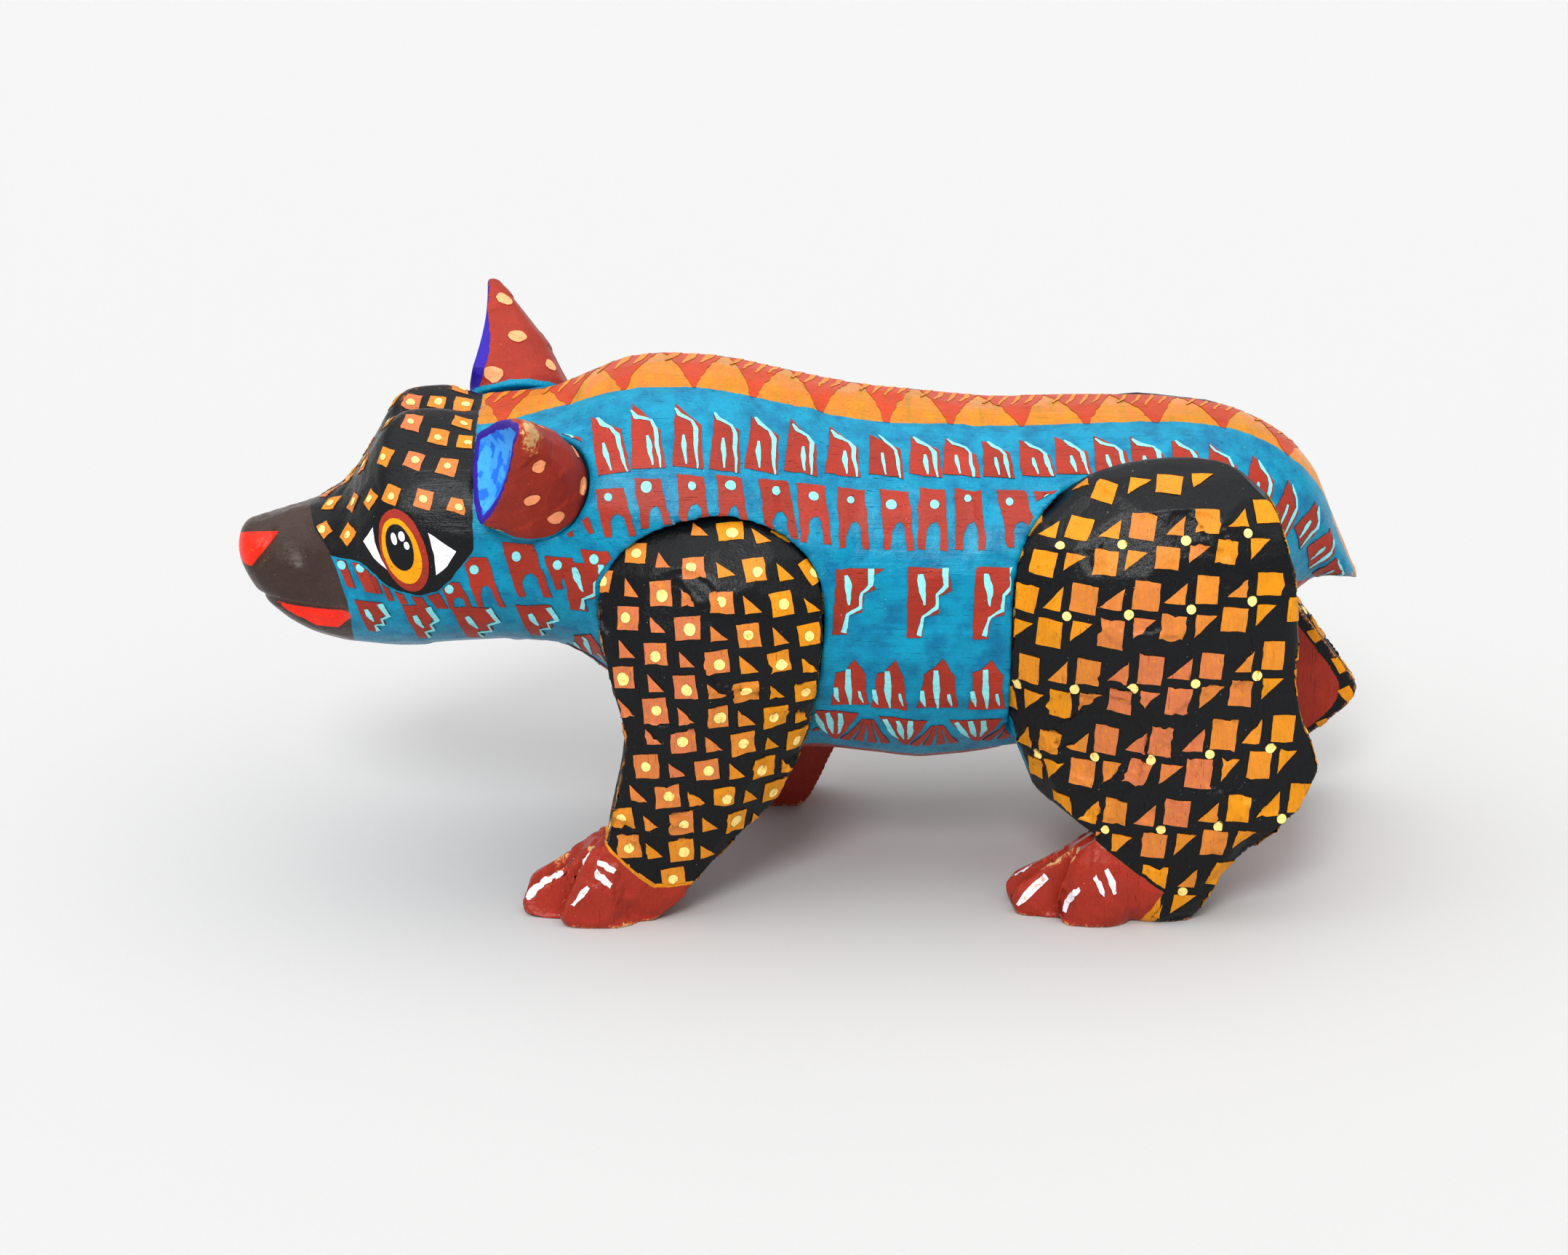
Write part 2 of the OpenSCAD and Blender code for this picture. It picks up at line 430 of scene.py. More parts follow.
def hand_drawn(points, shake, seed):
    """Moves an outline's points a little, as a brush held by hand does."""
    drawn = []
    for a, b in points:
        push = noise.noise_vector((a * 0.4 + seed * 7.3, b * 0.4, seed * 3.1))
        fine = noise.noise_vector((a * 1.3, b * 1.3 + seed * 5.7, seed))
        drawn.append((a + shake * (push.x + 0.35 * fine.x), b + shake * (push.y + 0.35 * fine.y)))
    return drawn


def fill(polygon, step):
    """Points in staggered rows inside a polygon, clear of its edge."""
    low = polygon.min(0)
    high = polygon.max(0)
    rows = []
    for line, b in enumerate(np.arange(low[1] + step / 2, high[1], step * 0.87)):
        start = low[0] + step * (0.5 if line % 2 else 0.25)
        rows += [(a, b) for a in np.arange(start, high[0], step)]
    grid = np.array(rows).reshape(-1, 2)
    grid = grid[inside(polygon, grid)]
    gaps = np.linalg.norm(grid[:, None] - polygon[None], axis=2)
    return [tuple(point) for point in grid[gaps.min(1) > step * 0.5]]


class Chips:
    """The painted shapes of one region, each a thin closed chip of paint, gathered in one mesh.

    Where keep, if it is set, gives less than nought for a place, the shapes are trimmed.
    """

    def __init__(self, name, keep=None):
        self.name = name
        self.keep = keep
        self.points = []
        self.normals = []
        self.faces = []
        self.tints = []
        self.count = 0

    def paint(self, plane, outline, tint, lift=BASE_LIFT, shake=0.22, step=CHIP_STEP):
        """Lays one shape on a drawing plane."""
        if plane is None:
            return
        self.count += 1
        edge = hand_drawn(along_outline(outline, step), shake, self.count % SHAKE_SEEDS)
        flat = [Vector(point) for point in edge + fill(np.array(edge), step)]
        result = geometry.delaunay_2d_cdt(flat, [], [list(range(len(edge)))], 1, 1e-6)
        flat, triangles = result[0], [tuple(f) for f in result[2]]
        found = [plane.at(*p) for p in flat]
        if self.keep:
            triangles = self.trimmed(plane, flat, found, triangles)
        whole = []
        for triangle in triangles:
            if any(found[i] is None for i in triangle):
                continue
            a, b, c = (found[i][0] for i in triangle)
            if max((a - b).length, (b - c).length, (c - a).length) < 3.2 * step:
                whole.append(triangle)
        self.close(found, whole, tint, lift)

    def trimmed(self, plane, flat, found, triangles):
        """Cuts the triangles along the line where keep is nought."""
        value = [self.keep(f[0]) if f else -1 for f in found]
        cuts = {}

        def cut(i, j):
            key = (min(i, j), max(i, j))
            if key not in cuts:
                good, bad = (flat[i], flat[j]) if value[i] > 0 else (flat[j], flat[i])
                for _ in range(6):
                    middle = (good + bad) / 2
                    spot = plane.at(*middle)
                    if spot is not None and self.keep(spot[0]) > 0:
                        good = middle
                    else:
                        bad = middle
                cuts[key] = len(flat)
                flat.append(good)
                found.append(plane.at(*good))
            return cuts[key]

        kept = []
        for triangle in triangles:
            shape = []
            for i, j in zip(triangle, triangle[1:] + triangle[:1]):
                if value[i] > 0:
                    shape.append(i)
                if (value[i] > 0) != (value[j] > 0):
                    shape.append(cut(i, j))
            kept += [(shape[0], shape[k], shape[k + 1]) for k in range(1, len(shape) - 1)]
        return kept

    def close(self, found, triangles, tint, lift):
        """Adds the triangles as a closed chip with a top, a back and a rim."""
        if not triangles:
            return
        used = sorted({i for triangle in triangles for i in triangle})
        place = {i: row for row, i in enumerate(used)}
        base = len(self.points)
        size = len(used)
        for offset in (lift, -CHIP_SINK):
            for i in used:
                spot, normal = found[i]
                self.points.append(spot + normal * offset)
                self.normals.append(normal)
                self.tints.append(tint)
        rim = {}
        for triangle in triangles:
            a, b, c = (place[i] for i in triangle)
            p, q, r = (found[i][0] for i in triangle)
            if (q - p).cross(r - p).dot(found[triangle[0]][1]) < 0:
                b, c = c, b
            if len({a, b, c}) < 3:
                continue
            self.faces.append((base + a, base + b, base + c))
            self.faces.append((base + size + a, base + size + c, base + size + b))
            for i, j in ((a, b), (b, c), (c, a)):
                if (j, i) in rim:
                    del rim[(j, i)]
                else:
                    rim[(i, j)] = True
        for i, j in rim:
            self.faces.append((base + j, base + i, base + size + i, base + size + j))

    def finish(self, body, material):
        """Makes the piece."""
        mesh = bpy.data.meshes.new(self.name)
        mesh.from_pydata([p * MM for p in self.points], [], self.faces)
        tint = mesh.attributes.new("tint", "FLOAT_COLOR", "POINT")
        tint.data.foreach_set("color", np.array(self.tints, np.float32).ravel())
        mesh.polygons.foreach_set("use_smooth", [True] * len(mesh.polygons))
        mesh.normals_split_custom_set_from_vertices([tuple(n) for n in self.normals])
        mesh.materials.append(material)
        piece = new_object(self.name, mesh)
        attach(piece, body)


def disc(radius, squash=1.0, points=14, at=(0, 0), lean=0):
    turn = math.radians(lean)
    outline = []
    for k in range(points):
        angle = 2 * math.pi * k / points
        a = radius * math.cos(angle)
        b = radius * squash * math.sin(angle)
        outline.append((at[0] + a * math.cos(turn) - b * math.sin(turn),
                        at[1] + a * math.sin(turn) + b * math.cos(turn)))
    return outline


def stroke(points, widths):
    """A brush stroke through the points, with its own width at each, as a closed outline."""
    upper = []
    lower = []
    for k, (a, b) in enumerate(points):
        before = points[max(k - 1, 0)]
        after = points[min(k + 1, len(points) - 1)]
        run = math.dist(before, after) or 1
        across = ((after[1] - before[1]) / run, (before[0] - after[0]) / run)
        half = widths[k] / 2
        upper.append((a + across[0] * half, b + across[1] * half))
        lower.append((a - across[0] * half, b - across[1] * half))
    return upper + lower[::-1]


def varied(colour, draw, amount=0.1):
    """The colour, a little lighter or darker."""
    share = 1 + draw(-amount, amount)
    return (*(part * share for part in colour[:3]), 1.0)


def between(first, second, share):
    return tuple(a + (b - a) * share for a, b in zip(first, second))


# ---- materials

class Nodes:
    """Builds one material.  A socket takes a number, a colour, a vector or another node's output."""

    def __init__(self, name):
        self.material = bpy.data.materials.new(name)
        self.material.use_nodes = True
        self.tree = self.material.node_tree
        self.tree.nodes.clear()
        # The place on the object in millimetres
        self.place = self.scaled(self.add("TexCoord", "Object", {}), (1 / MM,) * 3)

    def add(self, kind, out, inputs, **settings):
        node = self.tree.nodes.new("ShaderNode" + kind)
        for key, value in settings.items():
            setattr(node, key, value)
        for key, value in inputs.items():
            socket = node.inputs[key]
            if isinstance(value, bpy.types.NodeSocket):
                self.tree.links.new(value, socket)
            else:
                socket.default_value = value
        return node.outputs[out]

    def math(self, operation, first, second=0.0, third=0.0):
        return self.add("Math", 0, {0: first, 1: second, 2: third}, operation=operation)

    def plus(self, base, value, amount):
        return self.math("MULTIPLY_ADD", value, amount, base)

    def scaled(self, vector, factors):
        return self.add("VectorMath", 0, {0: vector, 1: factors}, operation="MULTIPLY")

    def ramp(self, value, low, high, start=0.0, end=1.0):
        return self.add("MapRange", 0, {0: value, 1: low, 2: high, 3: start, 4: end}, clamp=True)

    def mix(self, share, first, second, blend="MIX"):
        return self.add("Mix", 2, {0: share, 6: first, 7: second}, data_type="RGBA", blend_type=blend)

    def noise(self, scale, detail=2.0, rough=0.5, stretch=None):
        place = self.scaled(self.place, stretch) if stretch else self.place
        inputs = {"Vector": place, "Scale": scale, "Detail": detail, "Roughness": rough}
        return self.add("TexNoise", 0, inputs)

    def attribute(self, name, out="Fac"):
        return self.add("Attribute", out, {}, attribute_name=name)

    def layer(self, below, colour, attribute, wobble):
        """A ground painted where its signed distance, in millimetres, is under nought."""
        shift = self.plus(-wobble / 2, self.noise(0.45, 3.0), wobble)
        edge = self.math("ADD", self.attribute(attribute), shift)
        return self.mix(self.ramp(edge, -0.06, 0.06, 1.0, 0.0), below, colour)

    def finish(self, inputs):
        """Ends the material with one surface."""
        shader = self.add("BsdfPrincipled", 0, inputs)
        output = self.tree.nodes.new("ShaderNodeOutputMaterial")
        self.tree.links.new(shader, output.inputs["Surface"])
        return self.material


GRAIN_LONG = 0.05
GRAIN_FINE = 1.5
BUMP_DEPTH = 0.16
SPECULAR = 0.26


def paint_finish(nodes, colour, grain_axis, gloss, worn=False):
    """Turns a colour into satin paint over sanded wood whose grain runs along one axis."""
    stretch = [GRAIN_FINE] * 3
    stretch[grain_axis] = GRAIN_LONG
    grain = nodes.noise(1.0, 5.0, 0.62, stretch)
    pores = nodes.noise(2.7, 3.0, 0.6, stretch)
    mottle = nodes.noise(0.16, 4.0, 0.6)
    brush = nodes.noise(1.4, 3.0, 0.65)
    grit = nodes.noise(5.5, 2.0, 0.6)
    uneven = nodes.math("SUBTRACT", brush, 0.5)

    tone = nodes.plus(0.75, mottle, 0.5)
    tone = nodes.plus(tone, uneven, 0.3)
    tone = nodes.plus(tone, nodes.math("SUBTRACT", grain, 0.5), 0.35)
    grey = nodes.add("CombineColor", 0, {0: tone, 1: tone, 2: tone})
    colour = nodes.mix(1.0, colour, grey, "MULTIPLY")

    crack = nodes.ramp(pores, 0.66, 0.74)
    colour = nodes.mix(nodes.math("MULTIPLY", crack, 0.28), colour, rgb(38, 26, 20))
    fleck = nodes.ramp(nodes.noise(2.3, 1.0), 0.795, 0.81)
    colour = nodes.mix(nodes.math("MULTIPLY", fleck, 0.5), colour, rgb(222, 216, 200))
    if worn:
        limit = nodes.plus(nodes.attribute("worn"), uneven, 1.5)
        bare = nodes.ramp(limit, 0.95, 1.08)
        halo = nodes.ramp(limit, 0.72, 1.0)
        colour = nodes.mix(nodes.math("MULTIPLY", halo, 0.5), colour, rgb(222, 128, 74))
        wood = nodes.mix(grain, rgb(226, 190, 138), rgb(178, 128, 76))
        colour = nodes.mix(bare, colour, wood)

    height = nodes.math("MULTIPLY", grain, 0.7)
    for value, amount in ((crack, -0.8), (brush, 0.45), (grit, 0.16), (nodes.noise(0.3, 2.0), 0.6)):
        height = nodes.plus(height, value, amount)
    bump = nodes.add("Bump", 0, {"Strength": 1.0, "Distance": BUMP_DEPTH * MM, "Height": height})
    roughness = nodes.plus(gloss - 0.12, brush, 0.26)
    return nodes.finish({"Base Color": colour, "Roughness": roughness, "Normal": bump,
                         "Specular IOR Level": SPECULAR})


def mottled_teal(nodes):
    return nodes.mix(nodes.ramp(nodes.noise(0.22, 4.0, 0.6), 0.42, 0.66), TEAL, DEEP_TEAL)


def streaky_orange(nodes):
    """The orange of the back: dry strokes of light and dark paint laid across it."""
    across = (1.0, 0.12, 0.3)
    dry = nodes.ramp(nodes.noise(0.75, 4.0, 0.6, across), 0.42, 0.6)
    colour = nodes.mix(dry, rgb(198, 132, 20), rgb(212, 124, 40))
    return nodes.mix(nodes.ramp(nodes.noise(0.4, 3.0, 0.5, across), 0.55, 0.68), colour, rgb(184, 126, 24))


def dabbed_blue(nodes):
    return nodes.mix(nodes.ramp(nodes.noise(0.3, 3.0), 0.44, 0.5), rgb(28, 118, 226), rgb(70, 164, 236))


# The plain grounds of each kind of piece, the lowest first: attribute, colour and the edge's wobble
BODY_GROUNDS = [("under", BARN_RED, 0.5), ("band", streaky_orange, 0.9), ("mask", BLACK, 0.8),
                ("snout", SNOUT, 0.5), ("nose", NOSE_RED, 0.3), ("mouth", NOSE_RED, 0.3),
                ("tail_under", AMBER, 0.6)]
LEG_GROUNDS = [("cuff", OCHRE, 0.7), ("inner", BARN_RED, 0.7), ("splash", TEAL, 0.8), ("paw", BARN_RED, 0.6)]
EAR_GROUNDS = [("face", ULTRAMARINE, 0.5), ("hollow", dabbed_blue, 1.2), ("foot", TEAL, 1.0)]


def ground_material(name, grain_axis, gloss, base, grounds):
    """Paint in plain grounds over a base.  Each colour is plain, or a function that makes it."""
    nodes = Nodes(name)

    def made(colour):
        return colour(nodes) if callable(colour) else colour

    colour = made(base)
    for attribute, ground, wobble in grounds:
        colour = nodes.layer(colour, made(ground), attribute, wobble)
    return paint_finish(nodes, colour, grain_axis, gloss, True)


def motif_material(name, grain_axis, second, blend_at):
    """Motif paint: each chip's own tint, with a second tone dragged through it by a dry brush."""
    nodes = Nodes(name)
    colour = nodes.attribute("tint", "Color")
    if second:
        dry = nodes.noise(0.9, 5.0, 0.7, (0.9, 0.9, 0.9))
        colour = nodes.mix(nodes.ramp(dry, blend_at, blend_at + 0.14), colour, second)
    return paint_finish(nodes, colour, grain_axis, 0.38)


def raw_wood_material():
    nodes = Nodes("bare_wood")
    rings = nodes.noise(1.0, 4.0, 0.5, (1.2, 0.2, 1.2))
    return paint_finish(nodes, nodes.mix(rings, rgb(222, 184, 132), rgb(176, 128, 80)), 1, 0.6)


def dress(piece, node, body, material):
    """Paints a carved piece and sets it in the place of its CAD node."""
    mesh = piece.data
    mesh.polygons.foreach_set("use_smooth", [True] * len(mesh.polygons))
    mesh.materials.append(material)
    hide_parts(node)
    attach(piece, body)
    return Skin(piece)


# ---- carving the log

BODY_CELL = 0.9
LEG_CELL = 0.6
EAR_CELL = 0.5
CAD_NEIGHBOURS = [*LEGS, "ear_left", "ear_right"]

# The mouth line and the lower edge of the red lip, as x and z
MOUTH_LINE = [(-113, 63.2), (-107, 62.6), (-101, 62.6), (-96, 63.2)]
LIP_LOW = [(-113, 63.2), (-108.5, 60.6), (-104, 58.2), (-99, 58.6), (-96, 62)]
# The lower edge of the black mask under the eye, as x and z
MASK_LOW = [(-99, 75.2), (-93.5, 75.4), (-90, 73.2), (-88, 71.4), (-85, 70), (-81, 69.2),
            (-77.3, 70.2), (-74.2, 73), (-71.9, 76.2), (-69.6, 79.2), (-67, 85)]
# The back edge of the snout's brown paint, as z and x
SNOUT_BACK = [(53, -96.2), (60, -96), (66, -96.5), (72, -98.4), (76, -100.2), (79, -103.4),
              (81.6, -105.2), (83, -106)]
# Half width of the orange band along the back
BAND_HALF = [(-70, 12), (-62, 9.5), (-54, 8.2), (-43, 12), (-31, 13), (20, 12.8), (44, 11), (60, 10.6),
             (77, 9.2), (93, 8.6), (102, 7.8), (107, 6.2), (111, 3.6), (116, 2)]
# The back edge of the mask, as x
MASK_BACK = -69.3
# How deep the knife goes at the mouth, lip, nostrils and brow crease, and how far the brow lobes rise
MOUTH_DEPTH = 1.1
LIP_DEPTH = 0.5
NOSTRIL_DEPTH = 1.2
CREASE_DEPTH = 1.6
LOBE_RISE = 2.4
# In front of this x the nose is pressed back to a share of its length
NOSE_END = -110
NOSE_SHARE = 0.88


def curve(points, values):
    """Straight runs through a list of pairs."""
    return np.interp(values, [p[0] for p in points], [p[1] for p in points])


def carve_log():
    """The body with its brow, mouth, nose and knife marks."""
    piece = blank("body", BODY_CELL)
    mesh = piece.data
    points = read_points(mesh)
    edges = read_edges(mesh)
    neighbours = [tree_of(frame["nodes"][name].data) for name in CAD_NEIGHBOURS]
    gap = np.array([nearest_of(Vector(point), neighbours, 4.0) for point in points])
    free = smooth_step(gap, 0.4, 3)
    points = relax(points, edges, free, 36)
    write_points(mesh, points)
    normals = read_normals(mesh)
    points = whittle(points, normals, seed=5, cuts=900, depth=0.16, reach=9, weight=free)

    across = points[:, 1] - MIDDLE_Y - head_shift(points[:, 0])
    x, z = points[:, 0], points[:, 2]
    head = smooth_step(-x, 90, 97)
    groove = np.exp(-((z - curve(MOUTH_LINE, x)) / 0.8) ** 2) * head * smooth_step(-x, 95.5, 98.5)
    lip = smooth_step(curve(MOUTH_LINE, x) - z, 0, 1) * smooth_step(z - curve(LIP_LOW, x), -1, 2)
    points -= normals * (MOUTH_DEPTH * groove * free)[:, None]
    points -= normals * (LIP_DEPTH * lip * head * smooth_step(-x, 96, 99))[:, None]
    # The nostril notch runs down and forward on each side of the nose
    for side in (LEFT, RIGHT):
        start = np.array([-113.6, 77.4])
        end = np.array([-117.6, 71.6])
        run = end - start
        share = np.clip(((points[:, [0, 2]] - start) @ run) / (run @ run), 0, 1)
        away = np.linalg.norm(points[:, [0, 2]] - start - share[:, None] * run, axis=1)
        notch = np.exp(-(away / 0.95) ** 2) * smooth_step(across * side, 4, 7)
        points -= normals * (NOSTRIL_DEPTH * notch)[:, None]
    # The crease between the brow lobes
    lobe = smooth_step(x, -95, -84) * (1 - smooth_step(x, -78, -69)) * smooth_step(z, 84, 92)
    points[:, 2] -= CREASE_DEPTH * lobe * np.exp(-(across / 3.2) ** 2)
    points[:, 2] += LOBE_RISE * lobe * np.exp(-((np.abs(across) - 9.5) / 5) ** 2)
    # The blunt end of the nose
    points[:, 0] = np.where(x < NOSE_END, NOSE_END + (x - NOSE_END) * NOSE_SHARE, x)
    points = relax(points, edges, free * 0.8, 4)
    write_points(mesh, points)

    normals = read_normals(mesh)
    store(mesh, "worn", 0.12 + 3.2 * edge_wear(points, normals, edges) * free)
    paint_grounds(mesh, points, normals)
    return dress(piece, "body", "root", body_material)


def paint_grounds(mesh, points, normals):
    """Stores the signed distance to the edge of each plain ground of the log."""
    x, y, z = points.T
    across = np.abs(y - MIDDLE_Y - head_shift(x))
    top = normals[:, 2] > -0.2
    band = np.maximum(across - curve(BAND_HALF, x), MASK_BACK - x)
    store(mesh, "band", np.where(top, band, 9))
    store(mesh, "mask", np.maximum(x - MASK_BACK, curve(MASK_LOW, x) - z))
    store(mesh, "snout", x - curve(SNOUT_BACK, z))
    nose = np.maximum.reduce([0.775 * (x + 111.4) - 0.631 * (z - 78), z - 75.2 - 0.34 * across,
                               70.6 - z])
    store(mesh, "nose", nose)
    lip = np.maximum.reduce([z - curve(MOUTH_LINE, x), curve(LIP_LOW, x) - z, x + 96])
    store(mesh, "mouth", lip)
    low = np.maximum.reduce([across - 19.5, z - 42, -34 - x])
    behind = z - 65.5 + 0.25 * (x - 105)
    store(mesh, "under", np.where(normals[:, 2] < 0.1, np.where(x > 82, behind, low), 9))
    store(mesh, "tail_under", np.maximum.reduce([np.abs(x - 97) - 5, z - 64, 54 - z]))


# ---- legs

# Width of the black margin along the back edge of a rear leg's inner face
REAR_MARGIN = 4.2


def rear_edge(points, heights):
    """How far back the leg reaches at each height."""
    levels = np.arange(0, points[:, 2].max(), 2.0)
    reach = [points[np.abs(points[:, 2] - level) < 1.5, 0].max() for level in levels]
    return np.interp(heights, levels, reach)


# The clefts between the toes: x from the toe tip and distance out from the middle plane, at both ends
CLEFTS = [((0, 31.4), (13, 33)), ((0, 38.6), (19, 36.4))]


def cut_toes(points, toe_x, side):
    """Cuts a V between each two toes, deep at the tips and running out towards the ankle."""
    along = points[:, 0] - toe_x
    out = side * (points[:, 1] - MIDDLE_Y)
    for (start_x, start_out), (end_x, end_out) in CLEFTS:
        share = np.clip((along - start_x) / (end_x - start_x), 0, 1)
        middle = start_out + (end_out - start_out) * share
        away = np.abs(out - middle)
        deep = np.clip(1.35 - away / (2 - share), 0, 1) * (1 - smooth_step(share, 0.7, 1))
        points[:, 2] *= 1 - 0.95 * deep * (points[:, 2] < 15)


def toe_tip(points):
    """How far forward a leg's paw reaches."""
    return points[points[:, 2] < 12, 0].min()


def carve_leg(node, side, front):
    """A leg slab with rounded knife work, its sole and inner face left flat."""
    piece = blank(node, LEG_CELL)
    mesh = piece.data
    points = read_points(mesh)
    edges = read_edges(mesh)
    out = side * (points[:, 1] - MIDDLE_Y)
    paw = smooth_step(points[:, 2], 14, 24)
    free = smooth_step(out, SEAT + 0.9, SEAT + 2.5) * smooth_step(points[:, 2], 0.1, 1.2)
    points = relax(points, edges, free * (0.3 + 0.7 * paw), 12)
    write_points(mesh, points)
    normals = read_normals(mesh)
    swell = 0.55 * free * paw
    points += normals * swell[:, None] * np.array([1, 0.5, 1])
    points = whittle(points, normals, seed=11 + side, cuts=420, depth=0.28, reach=8, weight=free)
    points = relax(points, edges, free * 0.6, 2)
    points[:, 2] = np.maximum(points[:, 2], 0)
    toe_x = toe_tip(points)
    cut_toes(points, toe_x, side)
    write_points(mesh, points)

    x, y, z = points.T
    out = side * (y - MIDDLE_Y)
    normals = read_normals(mesh)
    if front:
        # The ankle line drops from the front of the leg to the heel
        line = z - np.interp(x - toe_x, [0, 16, 19, 24, 28, 34], [40, 19.5, 16.5, 11.5, 8.2, 8.2])
    else:
        fall = np.interp(x - toe_x, [0, 10, 16.6, 33], [25, 24, 19.4, 7.2])
        line = np.maximum(0.75 * (z - fall), 0.8 * (x - toe_x - 27.4 - 0.6 * z))
    store(mesh, "paw", line)
    store(mesh, "cuff", line - (0.9 if front else np.interp(z, [2, 7], [2.4, 0])))
    depth = np.where(normals[:, 0] > -0.3, 2.2 if side == LEFT else 1.2, 0.6)
    edge_height = np.where(normals[:, 1] * side < 0.75, out - SEAT - depth, 4)
    inner = edge_height + (np.sin(x * 0.35) + np.sin(z * 0.23)) * 0.3
    if not front:
        inner = np.maximum(inner, REAR_MARGIN - (rear_edge(points, z) - x))
    store(mesh, "inner", inner)
    teal_edge = out - SEAT - (4.4 if front else 5.5) + 0.22 * np.abs(z - (50 if front else 42))
    facing = normals[:, 0] * (-1 if front else 1) < -0.3
    store(mesh, "splash", np.where(facing, teal_edge, 4))
    worn = 0.2 + 2.6 * edge_wear(points, normals, edges)
    worn += 0.35 * smooth_step(2.2 - z, 0, 2) - 0.45 * smooth_step(17 - z, 0, 4) * (z > 2)
    store(mesh, "worn", worn)
    return dress(piece, node, "root", leg_material)


# ---- ears

def ear_axes(side):
    """The ear's seat, the way along its peg, the way its flat face looks, and the way across it."""
    seat, axis = ear_frame(side)
    look = Vector((-abs(axis.y), -abs(axis.x), 0)).normalized()
    return np.array(seat), np.array(axis), np.array(look), np.array(axis.cross(look))


# How far the ear's face looks up along its peg
FACE_LEAN = math.radians(18)


def away_from(points, others):
    """Distance from each point to the nearest of some others."""
    finder = point_finder(others)
    return np.array([finder.find(point)[2] for point in points])


def carve_ear(side):
    """A leaf-shaped ear with a broad hollowed face, its foot and peg hole left true."""
    node = "ear_" + SIDE_NAMES[side]
    piece = blank(node, EAR_CELL)
    mesh = piece.data
    points = read_points(mesh)
    edges = read_edges(mesh)
    seat, axis, look, aside = ear_axes(side)
    height = (points - seat) @ axis
    radial = np.linalg.norm(points - seat - height[:, None] * axis, axis=1)
    free = smooth_step(height, 0.4, 1.8) * np.where(radial < 4, smooth_step(height, 13.5, 15), 1)
    points = relax(points, edges, free, 10)

    # The round foot grows into a D, so that the face is nearly as wide as the ear
    ahead = (points - seat) @ look
    cross = (points - seat) @ aside
    height = (points - seat) @ axis
    spread = smooth_step(height, 1.6, 6) * free
    reach = np.hypot(ahead, cross) + 1e-6
    square = ((np.abs(ahead) / reach) ** 5 + (np.abs(cross) / reach) ** 5) ** -0.2
    square = np.where(ahead > 0, 1 + (square - 1) * spread, 1)
    new_ahead = ahead * square * np.where(ahead > 0, 1 + 0.1 * spread, 1)
    bend, tip, foot, hollow = (-1.6, 3.4, 11.6, 1.5) if side == LEFT else (1.4, 5.9, 10.6, 1.3)
    new_ahead += bend * np.clip(height / 31, 0, 1) ** 2
    rise = np.clip((height - 3) / 28, 0, 1)
    limit = foot - (foot - tip) * rise - hollow * np.sin(rise * np.pi)
    new_ahead = np.minimum(new_ahead, limit)
    points += (new_ahead - ahead)[:, None] * look + (cross * (square - 1))[:, None] * aside
    write_points(mesh, points)

    normals = read_normals(mesh)
    lean = math.cos(FACE_LEAN) * look + math.sin(FACE_LEAN) * axis
    on_face = (normals @ lean > 0.8) & (height > 2.6)
    rim = away_from(points, points[~on_face])
    points -= (2.0 * smooth_step(rim, 0.6, 5) * free)[:, None] * lean
    points = whittle(points, normals, seed=31 + side, cuts=90, depth=0.2, reach=6, weight=free * ~on_face)
    points = relax(points, edges, free * 0.6, 4)
    write_points(mesh, points)
    normals = read_normals(mesh)
    # The rim's paint wraps over the edge, and most at the foot
    beyond = away_from(points, points[on_face])
    wrap = 0.4 if side == LEFT else 2.6
    wrapped = beyond - wrap * (1 - smooth_step((points - seat) @ axis, 6, 24))
    store(mesh, "face", np.where(on_face, -rim - 0.3, wrapped))
    store(mesh, "hollow", np.where(on_face, 1.8 - rim, 3))
    worn = 0.2 + 2.6 * edge_wear(points, normals, edges)
    back = smooth_step(-((points - seat) @ look), -4, 1)
    worn += (0.85 if side == LEFT else 0.2) * smooth_step(height, 21, 29) * back
    store(mesh, "worn", np.where(on_face, worn - 0.4, worn))
    store(mesh, "foot", (points - seat) @ axis - 1.5)
    return dress(piece, node, SIDE_NAMES[side] + "_ear", ear_material)


# ---- motifs of the log

# Row lines of the log's flank: x against the distance down from the ridge
ROW_1 = [[(-60, 19), (-20, 19.5), (5, 18.2), (45, 16.6), (80, 15.8), (100, 15.2), (112, 11)],
         [(-60, 33), (-40, 35), (-17, 34.5), (5, 30.2), (32, 27.4), (60, 26.4), (85, 28), (100, 27),
          (112, 19)]]
ROW_2 = [[(-60, 36), (-40, 37.4), (5, 32.6), (30, 30.2), (60, 29), (90, 30)],
         [(-60, 45), (-40, 48), (5, 45.6), (40, 43), (60, 41), (90, 42)]]
ROW_3 = [[(-50, 52), (5, 49.2), (30, 46.6), (60, 45)], [(-50, 64), (5, 63.4), (60, 61)]]
ROW_4 = [[(-50, 70), (5, 69), (30, 66.4), (60, 64)], [(-50, 80), (5, 81), (60, 78)]]
ROW_5 = [[(-50, 82.5), (5, 83), (60, 81)], [(-50, 92), (5, 95.5), (60, 92)]]

